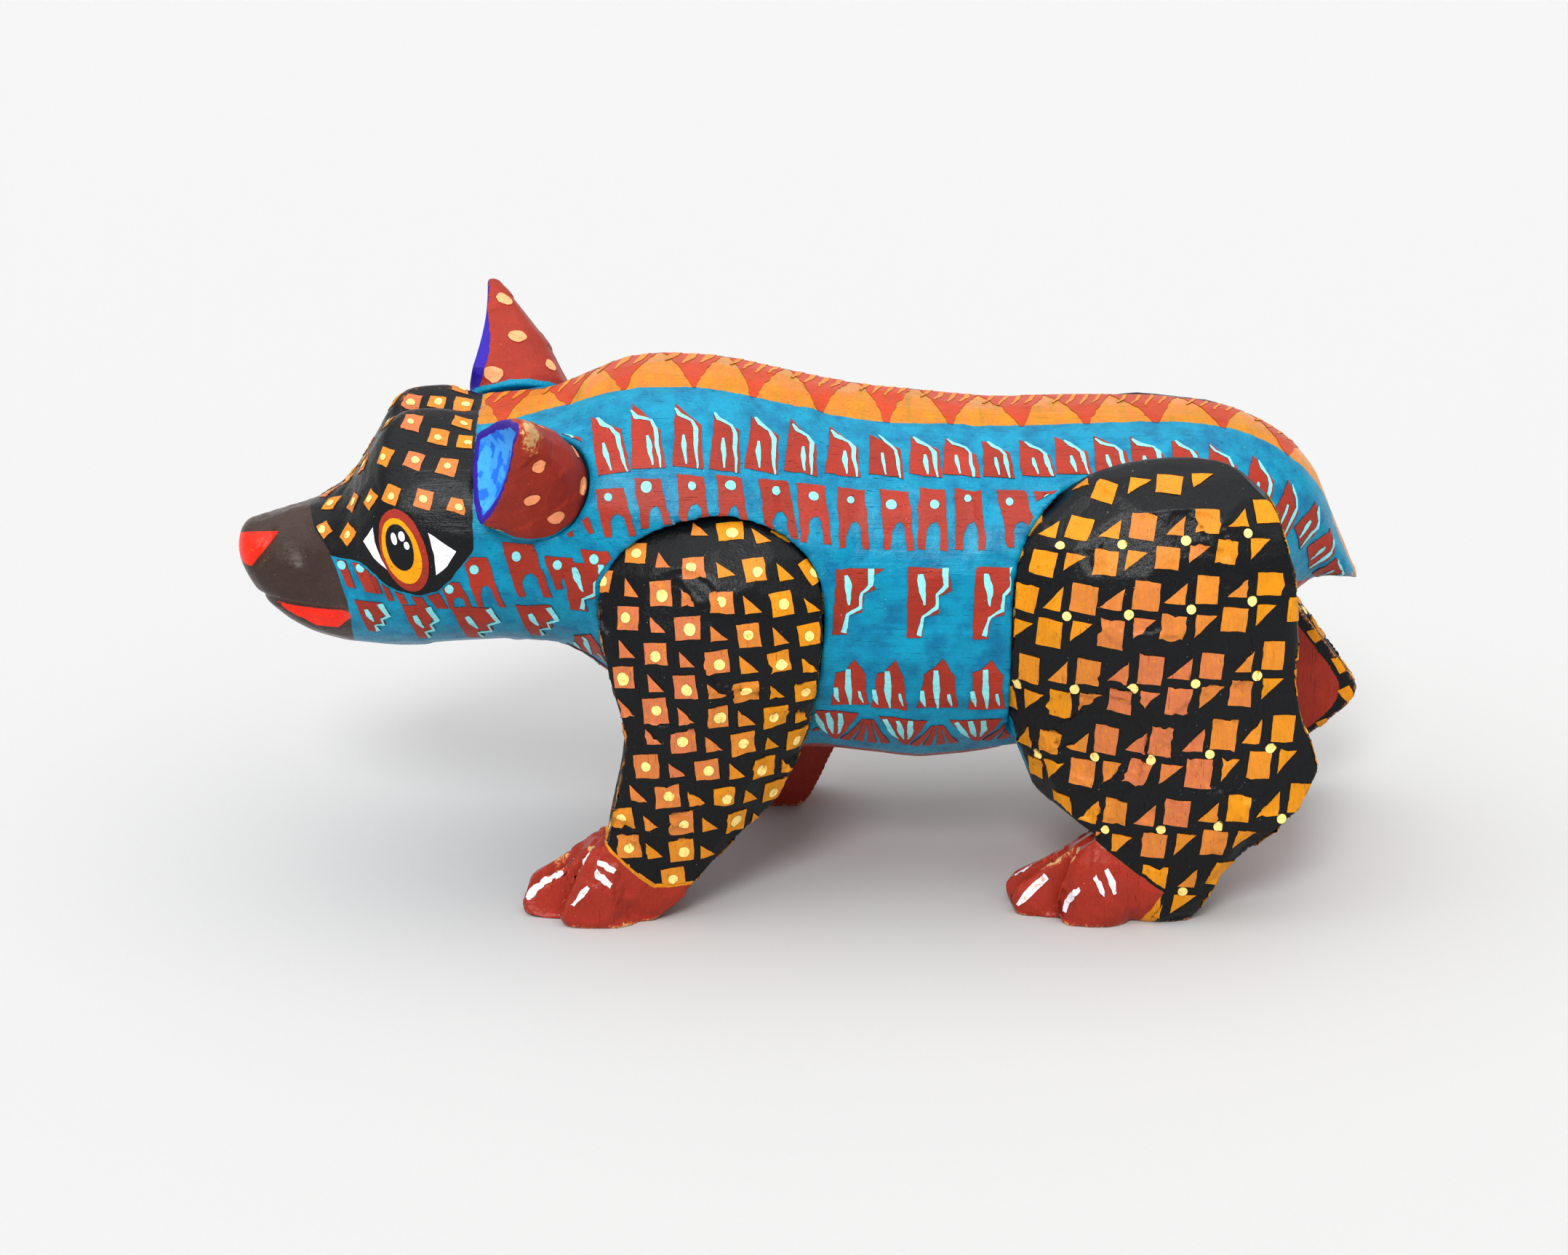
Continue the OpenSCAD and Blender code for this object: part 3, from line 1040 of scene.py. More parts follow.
ARCH = [(0, 0), (0.84, 0.02), (1.08, 1), (0.86, 1), (0.78, 0.64), (0.64, 0.54), (0.48, 0.58), (0.38, 0.72),
        (0.36, 1), (0.16, 1)]
FRET = [(0, 0), (0.92, 0), (1, 0.33), (0.72, 0.4), (0.72, 0.66), (0.39, 0.7), (0.36, 1), (0, 1)]
SPURRED_FRET = [FRET[0], (1.2, 0), (0.88, 0.12)] + FRET[2:]
HOUSE = [(0.12, 0.28), (0.36, 0.2), (0.6, 0), (0.88, 0.3), (0.9, 0.62), (1, 1), (0, 1), (0.1, 0.62)]
WEDGE = [(0, 0), (1, 0.06), (0.62, 1), (0.5, 0.96)]


class Cell:
    """A motif's own rectangle on a drawing plane: its shapes are in shares of its width and height."""

    def __init__(self, chips, plane, wide, tall, slant=0.0, left=0.5):
        self.chips = chips
        self.plane = plane
        self.wide = wide
        self.tall = tall
        self.slant = slant
        self.left = left

    def placed(self, shape):
        """The shape in millimetres, slanted sideways with its depth."""
        a = -self.wide * self.left
        b = -self.tall / 2
        return [(a + x * self.wide + y * self.tall * self.slant, b + y * self.tall) for x, y in shape]

    def block(self, shape, tint, shake=0.22, step=CHIP_STEP):
        self.chips.paint(self.plane, self.placed(shape), tint, BASE_LIFT, shake, step)

    def line(self, points, widths, tint=CYAN, shake=0.25):
        self.chips.paint(self.plane, stroke(self.placed(points), widths), tint, TOP_LIFT, shake, FINE_STEP)

    def dot(self, outline, tint, shake):
        self.chips.paint(self.plane, outline, tint, TOP_LIFT, shake, FINE_STEP)


def skin_stretch(fan, x, across):
    """How far the skin runs for one step of x, or None where the fan misses it."""
    here = fan.at(x, across)
    there = fan.at(x + 1, across)
    return max((there[0] - here[0]).length, 1) if here and there else None


def row_cells(chips, fan, side, draw, lines, start, end, pitch, widths):
    """The cells along a row of the flank, a pitch apart on the skin, each with its number."""
    x = start
    number = 0
    while x < end:
        top, bottom = (curve(line, x) for line in lines)
        middle = (top + bottom) / 2
        stretch = skin_stretch(fan, x, middle)
        if stretch:
            plane = fan_stamp(fan, x, side * middle)
            yield number, Cell(chips, plane, widths[0] * draw(*widths[1:]), bottom - top)
            x += pitch / stretch * draw(0.92, 1.08)
        else:
            x += 1
        number += 1


def paint_flank(fan, chips, side, seed):
    """The five rows of motifs down one side of the log.

    Each row has its two edges, first and last x, pitch, and the width of a motif with its spread.
    """
    draw = random.Random(seed).uniform

    def row(*facts):
        return row_cells(chips, fan, side, draw, *facts)

    for _, cell in row(ROW_1, -61, 112, 8.1, (7, 0.86, 1.08)):
        rise = draw(-0.06, 0.1)
        shoulder = draw(0.3, 0.46)
        block = [(0, -rise), (0.9, shoulder), (1.04, 1.02), (draw(-0.05, 0.04), 1)]
        cell.block(block, varied(BARN_RED, draw))
        start = draw(-0.02, 0.26)
        hook = [(start, 0.04), (start + 0.16, 0.16), (0.6, 0.26), (0.76, 0.4), (0.8, 0.66), (0.92, 1.02)]
        thick = draw(0.6, 1.1)
        cell.slant = draw(-0.04, 0.04)
        widths = [0.45 * thick, 1.1 * thick, 0.6, thick, 0.9, 0.3]
        cell.line(hook, widths, varied(CYAN, draw, 0.06), 0.2)
        cell.slant = 0
        a = draw(0.3, 0.5)
        drop = [(a, 0.5), (a + 0.04, 0.68), (a + 0.14, 0.97)]
        cell.line(drop, [0.5, 1.15 * thick, 0.3], varied(CYAN, draw, 0.06), 0.15)
    for _, cell in row(ROW_2, -58, 92, 8.5, (7.2, 0.84, 1.06)):
        cell.slant = draw(-0.06, 0.1)
        cell.block(ARCH, varied(BARN_RED, draw), 0.35)
        at = (draw(-0.16, 0.02) * cell.wide, draw(-0.33, -0.22) * cell.tall)
        cell.dot(disc(draw(0.8, 1.15), draw(0.95, 1.15), at=at), varied(CYAN, draw, 0.05), 0.1)
    for number, cell in row(ROW_3, -46, 90, 15, (9.5, 0.85, 1.05)):
        cell.slant = draw(-0.06, 0.08)
        cell.block(FRET if number % 2 else SPURRED_FRET, varied(BARN_RED, draw))
        cell.line([(0.26, 0.1), (0.3, 0.26), (0.38, 0.54)], [0.9, 1.7, 0.4])
        step = [(0.86, 0), (0.88, 0.26), (0.68, 0.38), (0.66, 0.58), (0.36, 0.7), (0.27, 0.96)]
        cell.line(step, [1.3, 1.2, 0.6, 0.9, 0.6, 1.1])
    for _, cell in row(ROW_4, -46, 90, 10.8, (8.4, 0.88, 1.04)):
        house = [(a + draw(-0.04, 0.04), b + draw(-0.04, 0.04)) for a, b in HOUSE]
        cell.block(house, varied(BARN_RED, draw))
        for a, b, length, thick in ((0.1, 0.6, 0.34, 1.2), (0.42, 0.2, 0.8, 1.5), (0.76, 0.66, 0.28, 0.8)):
            drop = [(a, b), (a + 0.03, b + length / 2), (a + 0.1, b + length)]
            cell.line(drop, [thick * 0.7, thick, 0.3], CYAN, 0.2)
    for _, cell in row(ROW_5, -46, 90, 14.6, (10.8, 0.9, 1.05)):
        cell.block(WEDGE, varied(BARN_RED, draw))
        for k in range(3):
            line = [(0.12 + 0.26 * k, 0.06), (0.26 + 0.2 * k, 0.4), (0.42 + 0.1 * k, 0.72)]
            cell.line(line, [1.0, 1.3, 0.3])
        # The sheaf of red strokes that spreads downwards between two wedges
        for top_a, low_a in ((1.12, 0.76), (1.18, 1.04), (1.24, 1.34), (1.3, 1.62)):
            line = cell.placed([(top_a, 0.2 + 0.1 * abs(top_a - 1.22)), (low_a, 1.02)])
            chips.paint(cell.plane, stroke(line, [0.6, 1.9]), varied(BARN_RED, draw), BASE_LIFT, 0.15, 0.9)


def paint_band(fan, chips):
    """The flames of the orange band: red from its right edge, with tips that reach its left edge."""
    draw = random.Random(3).uniform
    x = -64.5
    number = 0
    while x < 110:
        half = curve(BAND_HALF, x)
        pitch = 13.8 * draw(0.94, 1.06) / skin_stretch(fan, x, 0) * min(1, 0.35 + half / 14)
        wide = pitch / 2
        tip = x + pitch * draw(-0.06, 0.08)
        blunt = 0.035 * pitch
        flame = [(x - wide * 1.04, half), (x + wide * 1.04, half), (tip + blunt, -half - 0.3),
                 (tip - blunt, -half - 0.3)]
        chips.paint(fan, flame, varied(FLAME, draw, 0.08), BAND_LIFT, 0.5)
        # Behind the head the strokes are fewer and thicker
        count, thick = (3, 1.7 * half / 12) if number < 4 else (4, 1.0 * half / 12)
        for k in range(count):
            start = (x - wide * 0.72 + (k + 0.5) * wide * 1.6 / count, half * 0.9)
            reach = half * (0.55 + 0.5 * (1 - abs(k - count / 2 + 0.3) / count))
            end = (start[0] - wide * 0.34, start[1] - reach)
            middle = ((start[0] + end[0]) / 2 + 0.3, (start[1] + end[1]) / 2)
            line = stroke([start, middle, end], [thick, thick, 0.4])
            chips.paint(fan, line, varied(ORANGE, draw, 0.08), BAND_LIFT + 0.1, 0.25, FINE_STEP)
        x += pitch
        number += 1


# The squares of the mask on one side: how far behind and above the eye they are seen from the side and
# slightly above, and how far each is turned
MASK_SQUARES = [
    (-0.4, 32, -15), (5, 32, -12), (10.7, 31.4, -10), (9.6, 35, 0), (-4.4, 27.2, -25), (1.2, 27, -15),
    (11.5, 27, -8), (6.9, 23.8, -12), (12.8, 22.8, -5), (-4.2, 19.8, -30), (-9.4, 18.4, -35), (0.9, 25, -20),
    (-9.8, 22.6, -35), (-13.4, 15.8, -32), (1.9, 18.8, -20), (9, 17.5, -14), (-16.6, 10.4, -30),
    (-11.2, 10.6, 40), (-7.1, 11, 42), (-2.5, 11.8, -24), (4.3, 10.8, -15), (11.4, 9.4, -16),
    (14, 14.2, -35), (-18, 4.6, -62), (-12.1, 3.8, 45), (-17.8, 14.2, -30), (-21.4, 11, -30)]
SLANT = math.radians(19)


def seen_from_above(skin, origin, side, a, b):
    """The place seen behind and above an origin, looking down at a slant from one side."""
    away = Vector((0, side * math.cos(SLANT), math.sin(SLANT)))
    rise = Vector((0, -side * math.sin(SLANT), math.cos(SLANT)))
    return skin.seen(origin + Vector((a, 0, 0)) + rise * b + away * 80, -away)


def paint_mask(skin, chips):
    """The small squares of the black mask, each with a cream dot."""
    draw = random.Random(17).uniform
    taken = []
    for side in (LEFT, RIGHT):
        eye = skin.from_side(EYE.x, EYE.z, side)[0]
        for a, b, lean in MASK_SQUARES:
            found = seen_from_above(skin, eye, side, a, b)
            if found is None or chips.keep(found[0]) < 0.2:
                continue
            if any((found[0] - place).length < 4.4 for place in taken):
                continue
            taken.append(found[0])
            around = [seen_from_above(skin, eye, side, a + da, b + db)
                      for da, db in ((1.2, 0), (-1.2, 0), (0, 1.2), (0, -1.2))]
            normal = sum((f[1] for f in around if f), found[1].copy())
            plane = Stamp(skin, found[0], normal, (1, 0, 0), -side * lean)
            half = draw(1.75, 2.1)
            tall = half * draw(0.8, 1.1)
            square = [(-half, -tall), (half * 0.9, -tall * 1.1), (half, tall), (-half * 1.05, tall * 0.9)]
            tint = between(OCHRE, COPPER, draw(0, 1))
            chips.paint(plane, square, tint, BASE_LIFT, 0.25, 0.9)
            at = (draw(-0.4, 0.5), draw(-0.3, 0.3))
            dot = disc(draw(0.75, 1.0), 0.85, at=at, lean=20)
            chips.paint(plane, dot, varied(CREAM, draw, 0.06), TOP_LIFT, 0.1, FINE_STEP)


EYE = Vector((-83.8, 0, 78.8))


class SidePlane:
    """A drawing plane seen square from one side: x towards the tail and z downwards, from a centre."""

    def __init__(self, skin, centre, side):
        self.skin = skin
        self.centre = centre
        self.side = side

    def at(self, along, down):
        return self.skin.from_side(self.centre[0] + along, self.centre[1] - down, self.side)


def tilted_oval(half_long, half_short, lean, at=(0, 0), points=30):
    """An upright oval that leans its top towards the nose."""
    return disc(half_short, half_long / half_short, points, at, -lean)


def paint_eye(skin, chips, side):
    """Two whites, then the red rim, the amber ring, the pupil and its glints."""
    plane = SidePlane(skin, (EYE.x, EYE.z), side)
    white_front = [(-6.4, -4.3), (-8.6, -1), (-6.4, 1.9), (-3.2, 4.3), (-4.9, 1.6), (-6.1, -1.6)]
    white_back = [(5.2, -4.4), (8.2, -2.4), (11, -0.6), (9, 2.6), (6.6, 4.8), (6.4, 0.4)]
    chips.paint(plane, white_front, WHITE, 0.14, 0.12, FINE_STEP)
    chips.paint(plane, white_back, WHITE, 0.14, 0.12, FINE_STEP)
    chips.paint(plane, tilted_oval(8.9, 4.8, 16, (0, 0)), BARN_RED, 0.15, 0.15, FINE_STEP)
    chips.paint(plane, tilted_oval(7.1, 3.85, 17, (-0.4, 0)), AMBER, 0.22, 0.12, FINE_STEP)
    chips.paint(plane, tilted_oval(4.9, 2.75, 15, (-0.75, -0.9)), BLACK, 0.3, 0.1, 0.7)
    for at, tall, wide in (((-1.9, -2.7), 1.3, 0.62), ((-0.3, -3.3), 1.05, 0.7), ((0.75, -1.5), 0.85, 0.6)):
        chips.paint(plane, tilted_oval(tall, wide, 14, at, 16), WHITE, 0.38, 0.05, 0.6)


# The cheek's arches as x of the middle, z of the top and bottom, and width
CHEEK_ARCHES = [
    (-97.3, 75, 69.4, 2.8), (-93.2, 75, 69, 3.8), (-90.4, 73.6, 69, 1.5), (-88.2, 72.4, 67.8, 1.7),
    (-85.5, 71.2, 67, 2.3), (-81.9, 70.2, 66.4, 3), (-78, 70.2, 66.2, 3.4), (-74, 72.6, 66.2, 5.2),
    (-68.6, 78.4, 66.6, 6.2), (-59.6, 81.6, 69.6, 7.8), (-51.2, 79, 71.6, 7), (-43.6, 80.8, 73, 7)]
# Its frets as x of the middle, z of the top, height and width
CHEEK_FRETS = [(-90.6, 66.8, 8, 6.5), (-80.6, 66.6, 9.5, 6.2), (-68.6, 66.4, 9.5, 9), (-55.8, 67.4, 9, 8)]
# An arch taller than this has legs and a dot
FULL_ARCH = 6


def paint_cheek(skin, chips, side):
    """The arches and frets of the cheek and throat, below the mask."""
    draw = random.Random(41 + side).uniform
    for x, top, bottom, wide in CHEEK_ARCHES:
        tall = top - bottom
        cell = Cell(chips, SidePlane(skin, (x, (top + bottom) / 2), side), wide, tall, 0.16)
        shape = ARCH if tall > FULL_ARCH else [(0, 0), (0.8, 0), (1.2, 1), (0.5, 1)]
        cell.block(shape, varied(BARN_RED, draw), 0.3, 0.9)
        if tall > FULL_ARCH:
            cell.dot(disc(0.95, 1.1, at=(-0.1 * wide, -0.26 * tall)), CYAN, 0.08)
    for x, z in ((-97.3, 73.8), (-93.2, 74)):
        chips.paint(SidePlane(skin, (x, z), side), disc(0.95), CYAN, TOP_LIFT, 0.08, FINE_STEP)
    for x, top, tall, wide in CHEEK_FRETS:
        cell = Cell(chips, SidePlane(skin, (x, top - tall / 2), side), wide, tall, 0.3, 0.65)
        cell.block(FRET, varied(BARN_RED, draw), 0.3, 0.9)
        step = [(0.86, 0.02), (0.95, 0.4), (0.66, 0.5), (0.66, 0.68), (0.34, 0.76), (0.36, 0.96)]
        cell.line(step, [1.4, 1.1, 0.6, 0.8, 0.5, 0.9])
        cell.line([(0.28, 0.24), (0.3, 0.4), (0.38, 0.6)], [0.9, 1.3, 0.4], CYAN, 0.2)


# ---- motifs of the legs

def leg_fan(skin, side):
    """Rays that fan out from the middle of a leg slab, level by level."""
    points = read_points(skin.piece.data)
    heights = np.arange(points[:, 2].min() + 1.5, points[:, 2].max() - 0.5, 1.5)
    inner = MIDDLE_Y + side * (SEAT + 2)
    centres = []
    for height in heights:
        level = points[np.abs(points[:, 2] - height) < 1.2]
        centres.append(((level[:, 0].min() + level[:, 0].max()) / 2, inner, height))
    return Fan(skin, heights, centres, (0, side, 0), (1, 0, 0), math.radians(88), 61)


def leg_places(across_pitch, down_pitch, lean, centre):
    """Places of a leaning grid over a leg, by column and row."""
    turn = math.radians(lean)
    for row in range(-9, 10):
        for column in range(-8, 9):
            a = column * across_pitch
            b = row * down_pitch
            across = a * math.cos(turn) - b * math.sin(turn)
            down = a * math.sin(turn) + b * math.cos(turn)
            yield column, row, centre[0] + across, centre[1] - down


def leg_stamp(fan, height, across, lean):
    """A stamp at a height on a leg, set along its level; nothing near the crown and the sole."""
    if not fan.stations[0] < height < fan.stations[-1]:
        return None
    found = fan.at(height, across)
    if found and abs(found[1].z) > 0.9:
        return None
    right = fan.at(height, across + 0.8)
    left = fan.at(height, across - 0.8)
    if not (found and right and left):
        return None
    return Stamp(fan.skin, found[0], found[1], right[0] - left[0], lean)


def leg_keep(skin, side):
    """Keeps leg motifs off the paw, the inner face and the red edge."""
    mesh = skin.piece.data
    paw = read(mesh.attributes["paw"].data, "value", 1, np.float32)[:, 0]
    polygons = mesh.polygons

    def keep(place):
        hit = skin.tree.find_nearest(place)
        corner = polygons[hit[2]].vertices[0]
        return min(paw[corner] - 1.2, side * (place.y - MIDDLE_Y) - SEAT - 2.9)
    return keep


def leg_tint(place, centre, draw):
    """Copper in the middle of the leg and ochre round its edge."""
    away = math.hypot((place.x - centre[0]) / 22, (place.z - centre[1]) / 42)
    return between(COPPER, OCHRE, min(1, max(0, 1.3 * away - 0.45 + draw(-0.3, 0.3))))


FRONT_LEAN = 5


def paint_front_leg(skin, chips, side, seed):
    """A chessboard of dotted squares and small triangles."""
    draw = random.Random(seed).uniform
    fan = leg_fan(skin, side)
    centre = (read_points(skin.piece.data)[:, 0].min() + 31, 55)
    for column, row, across, height in leg_places(6.35, 6.15, FRONT_LEAN, (0, 48)):
        plane = leg_stamp(fan, height, across, FRONT_LEAN)
        if plane is None:
            continue
        if (column + row) % 2:
            tall = draw(3.3, 4.1)
            wide = draw(2.8, 3.4)
            shape = [(-wide / 2, tall / 2), (wide / 2 + 0.3, tall / 2), (-wide / 2, -tall / 2)]
            chips.paint(plane, shape, leg_tint(plane.place, centre, draw), LEG_LIFT, 0.16, 0.9)
        else:
            half = draw(2.3, 2.75)
            tall = draw(2.3, 2.7)
            shape = [(-half, -tall), (half * 0.96, -tall * 1.04), (half, tall), (-half * 0.95, tall * 0.95)]
            chips.paint(plane, shape, leg_tint(plane.place, centre, draw), LEG_LIFT, 0.2, 0.9)
            at = (draw(-0.5, 0.7), draw(-0.4, 0.6))
            dot = disc(draw(1.0, 1.3), 1.05, at=at)
            chips.paint(plane, dot, varied(CREAM, draw, 0.05), LEG_DOT_LIFT, 0.1, FINE_STEP)


# Above this height the rows of the rear legs close up, and their shapes are squeezed
REAR_BEND = 72
REAR_CLOSE = 0.84
REAR_SQUEEZE = 0.8
REAR_LEAN = -5.5
# Half the black line between the shapes of a block
BLOCK_GAP = 0.95


def paint_rear_leg(skin, chips, side, seed):
    """Blocks of two squares and two triangles set round a cream dot."""
    draw = random.Random(seed).uniform
    fan = leg_fan(skin, side)
    centre = (read_points(skin.piece.data)[:, 0].mean(), 50)
    for _, _, across, height in leg_places(12.8, 15.9, REAR_LEAN, (-4.7, 54.5)):
        if height > REAR_BEND:
            height = REAR_BEND + REAR_CLOSE * (height - REAR_BEND)
        squeeze = REAR_SQUEEZE if height > REAR_BEND else 1
        for up, sign in ((1, -1), (1, 1), (-1, -1), (-1, 1)):
            is_square = sign == up
            wide = draw(4.6, 5.5) if is_square else draw(3.7, 4.8)
            tall = squeeze * (draw(5.4, 6.6) if is_square else draw(4.5, 5.6))
            middle = BLOCK_GAP + wide / 2
            plane = leg_stamp(fan, height + up * (BLOCK_GAP + tall / 2), across + sign * middle, REAR_LEAN)
            if plane is None:
                continue
            near = sign * (BLOCK_GAP - middle)
            far = near + sign * wide
            inner = up * tall / 2
            shape = [(near, inner), (far, inner), (near, -inner)]
            if is_square:
                shape.insert(2, (far * 1.02, -inner))
            chips.paint(plane, shape, leg_tint(plane.place, centre, draw), LEG_LIFT, 0.18)
        plane = leg_stamp(fan, height, across, REAR_LEAN)
        if plane is not None:
            dot = disc(draw(0.95, 1.15))
            chips.paint(plane, dot, varied(CREAM, draw, 0.05), LEG_DOT_LIFT, 0.06, FINE_STEP)


# ---- nails and ear dots

# White strokes on the front and rear paws: places as x from the toe tip, distance out from the
# middle plane, and z, each with the stroke's widths
FRONT_MARKS = [
    ([(8, 37, 10.4), (4.5, 36.8, 8.2), (1.2, 36.5, 5.6), (0.8, 37, 4)], [1.3, 1.7, 1.5, 0.8]),
    ([(14.2, 43.8, 9.6), (12.6, 43.9, 8), (11.4, 43.9, 5)], [1.0, 1.9, 1.2]),
    ([(9, 37, 11.4), (10.8, 36.4, 13.6)], [0.7, 0.8]),
    ([(11.6, 40.4, 13.2), (13, 38.4, 16)], [0.7, 1.3]),
    ([(16.2, 42.8, 15), (18.6, 43, 13.8), (20.8, 43.4, 12.2)], [0.7, 1.7, 1.0]),
    ([(14.6, 43, 13.2), (17, 43.6, 11.8), (19.2, 44.2, 9.8)], [0.7, 1.5, 0.9])]
REAR_MARKS = [
    ([(1, 29.8, 6.4), (5, 30.2, 10)], [0.8, 1.8]),
    ([(1.4, 36.5, 2.2), (4.2, 37, 5.4), (8, 37.4, 9)], [1.0, 1.8, 1.6]),
    ([(11, 42.4, 2.8), (11.6, 42.8, 6), (15.4, 43.4, 9.2)], [1.4, 1.7, 1.4]),
    ([(13, 34.5, 14.6), (13.6, 36, 11.4)], [0.8, 0.8]),
    ([(17.4, 42.6, 11.6), (19.6, 43.8, 7.4)], [1.4, 0.7]),
    ([(19.8, 42.6, 13.4), (21.4, 43.6, 10.4), (22.2, 44, 7.6)], [1.0, 1.6, 0.7])]
# Dots of the left and right ears as x, y and z, with each dot's half length
EAR_DOTS = {
    LEFT: [(-55, -37, 109, 1.9), (-54.4, -43, 102, 1.7), (-56.5, -40, 94, 1.8), (-46.3, -28.5, 93, 2.2),
           (-51.4, -35, 88, 2.3), (-64, -34, 87.6, 2.3), (-49.4, -26, 99, 1.9), (-58, -27, 103, 2)],
    RIGHT: [(-66.4, 36, 115.6, 2.1), (-62.8, 26, 110.3, 2.1), (-67.6, 18.5, 104.3, 2.2),
            (-55.7, 22.5, 104.6, 1.7), (-54, 38, 108, 2), (-58, 40, 102, 2.2),
            (-50, 27, 97, 2), (-68, 38, 99, 1.9)]}


def draw_through(skin, chips, places, widths, tint):
    """One brush stroke through places near a skin."""
    middle = sum((Vector(p) for p in places), Vector()) / len(places)
    found = skin.nearest(middle)
    plane = Stamp(skin, found[0], found[1], Vector(places[-1]) - Vector(places[0]))
    flat = []
    for place in places:
        offset = skin.nearest(place)[0] - plane.place
        flat.append((offset.dot(plane.along), offset.dot(plane.down)))
    chips.paint(plane, stroke(flat, widths), tint, BASE_LIFT, 0.18, 0.7)


def paint_margin(skin, chips, side):
    """Ochre patches on the black margin of a rear leg's inner face."""
    draw = random.Random(91 + side).uniform
    points = read_points(skin.piece.data)
    for height in range(20, 66, 7):
        x = float(rear_edge(points, height)) - REAR_MARGIN / 2
        place, normal = skin.nearest((x, MIDDLE_Y + side * (SEAT - 1), height))
        plane = Stamp(skin, place, normal, (1, 0, 0), side * draw(20, 40))
        half = draw(1.1, 1.4)
        tall = draw(1.6, 2.2)
        patch = [(-half, -tall), (half, -tall * 0.8), (half, tall), (-half * 0.8, tall)]
        chips.paint(plane, patch, varied(OCHRE, draw), BASE_LIFT, 0.2, 0.9)


def paint_nails(skin, chips, side, front):
    toe_x = toe_tip(read_points(skin.piece.data))
    for places, widths in FRONT_MARKS if front else REAR_MARKS:
        spots = [(toe_x + a, MIDDLE_Y + side * out, z) for a, out, z in places]
        draw_through(skin, chips, spots, widths, WHITE)


def paint_ear_dots(skin, chips, side):
    draw = random.Random(71 + side).uniform
    axis = Vector(ear_axes(side)[1])
    for x, y, z, half in EAR_DOTS[side]:
        place, normal = skin.nearest((x, y, z))
        plane = Stamp(skin, place, normal, axis.cross(normal), draw(-25, 25))
        dot = disc(half, draw(0.68, 0.92), 18)
        chips.paint(plane, dot, varied(PEACH, draw, 0.05), BASE_LIFT, 0.35, FINE_STEP)


# ---- camera, floor and lights

AIM_HEIGHT = 51.8
ELEVATION = math.radians(19.2)
DISTANCE = 900


def build_camera():
    low = millimetres(cad_box[0])
    high = millimetres(cad_box[1])
    aim = Vector(((low.x + high.x) / 2 - 5.35, MIDDLE_Y, AIM_HEIGHT))
    data = bpy.data.cameras.new("camera")
    data.lens = 96
    data.sensor_width = 36
    data.clip_start = 0.01
    camera = new_object("camera", data)
    away = Vector((0, -math.cos(ELEVATION), math.sin(ELEVATION)))
    camera.location = (aim + away * DISTANCE) * MM
    camera.rotation_euler = (-away).to_track_quat("-Z", "Y").to_euler()
    bpy.context.scene.camera = camera


# The floor in metres: the radius of its flat part, and the radius and steps of the curve round it
FLOOR_RADIUS = 3
FLOOR_CURVE = 1.2
CURVE_STEPS = 8
FLOOR_SIDES = 64


def build_floor():
    """A pale round sheet that lies under the figure and curves up far around it."""
    profile = [(FLOOR_RADIUS / 2, 0.0), (FLOOR_RADIUS, 0.0)]
    for k in range(1, CURVE_STEPS + 1):
        angle = math.pi / 2 * k / CURVE_STEPS
        profile.append((FLOOR_RADIUS + FLOOR_CURVE * math.sin(angle), FLOOR_CURVE * (1 - math.cos(angle))))
    points = []
    for radius, height in profile:
        for k in range(FLOOR_SIDES):
            turn = 2 * math.pi * k / FLOOR_SIDES
            points.append((radius * math.cos(turn), radius * math.sin(turn), height))
    faces = [tuple(range(FLOOR_SIDES))]
    for start in range(0, (len(profile) - 1) * FLOOR_SIDES, FLOOR_SIDES):
        for k in range(FLOOR_SIDES):
            after = (k + 1) % FLOOR_SIDES
            outer = start + FLOOR_SIDES
            faces.append((start + k, outer + k, outer + after, start + after))
    mesh = bpy.data.meshes.new("floor")
    mesh.from_pydata(points, [], faces)
    nodes = Nodes("paper")
    colour = nodes.mix(nodes.noise(0.8, 3.0), (0.525, 0.525, 0.525, 1), (0.54, 0.54, 0.54, 1))
    mesh.materials.append(nodes.finish({"Base Color": colour, "Roughness": 0.85}))
    new_object("floor", mesh)


def sun_light(name, towards, spread, strength):
    """A broad soft light that falls from one direction and lights the floor evenly."""
    data = bpy.data.lights.new(name, "SUN")
    data.energy = strength
    data.angle = math.radians(spread)
    new_object(name, data).rotation_euler = Vector(towards).to_track_quat("Z", "Y").to_euler()


def build_lights():
    sun_light("key", (-0.16, -0.86, 0.7), 16, 1.7)
    sun_light("overhead", (-0.06, -0.14, 1), 100, 2.3)
    sun_light("low", (-0.75, -0.7, 0.05), 18, 1.0)
    world = bpy.data.worlds.new("studio")
    world.use_nodes = True
    world.node_tree.nodes["Background"].inputs["Color"].default_value = (1, 1, 1, 1)
    world.node_tree.nodes["Background"].inputs["Strength"].default_value = 0.66
    bpy.context.scene.world = world
    bpy.context.scene.view_settings.view_transform = "Standard"
    bpy.context.scene.view_settings.gamma = 0.88


# ---- putting it together

build_camera()
build_floor()
build_lights()

body_material = ground_material("painted_log", 0, 0.25, mottled_teal, BODY_GROUNDS)
leg_material = ground_material("painted_leg", 2, 0.22, BLACK, LEG_GROUNDS)
ear_material = ground_material("painted_ear", 2, 0.42, BARN_RED, EAR_GROUNDS)
log_paint = motif_material("log_motifs", 0, None, 0.5)
head_paint = motif_material("head_motifs", 0, COPPER, 0.56)
leg_paint = motif_material("leg_motifs", 2, OCHRE, 0.55)

log = carve_log()
legs = {name: carve_leg(name, *facts) for name, facts in LEGS.items()}
ears = {side: carve_ear(side) for side in SIDE_NAMES}
covers = [skin.tree for skin in (*legs.values(), *ears.values())]

# The flank's motifs start behind this x
FLANK_START = -66
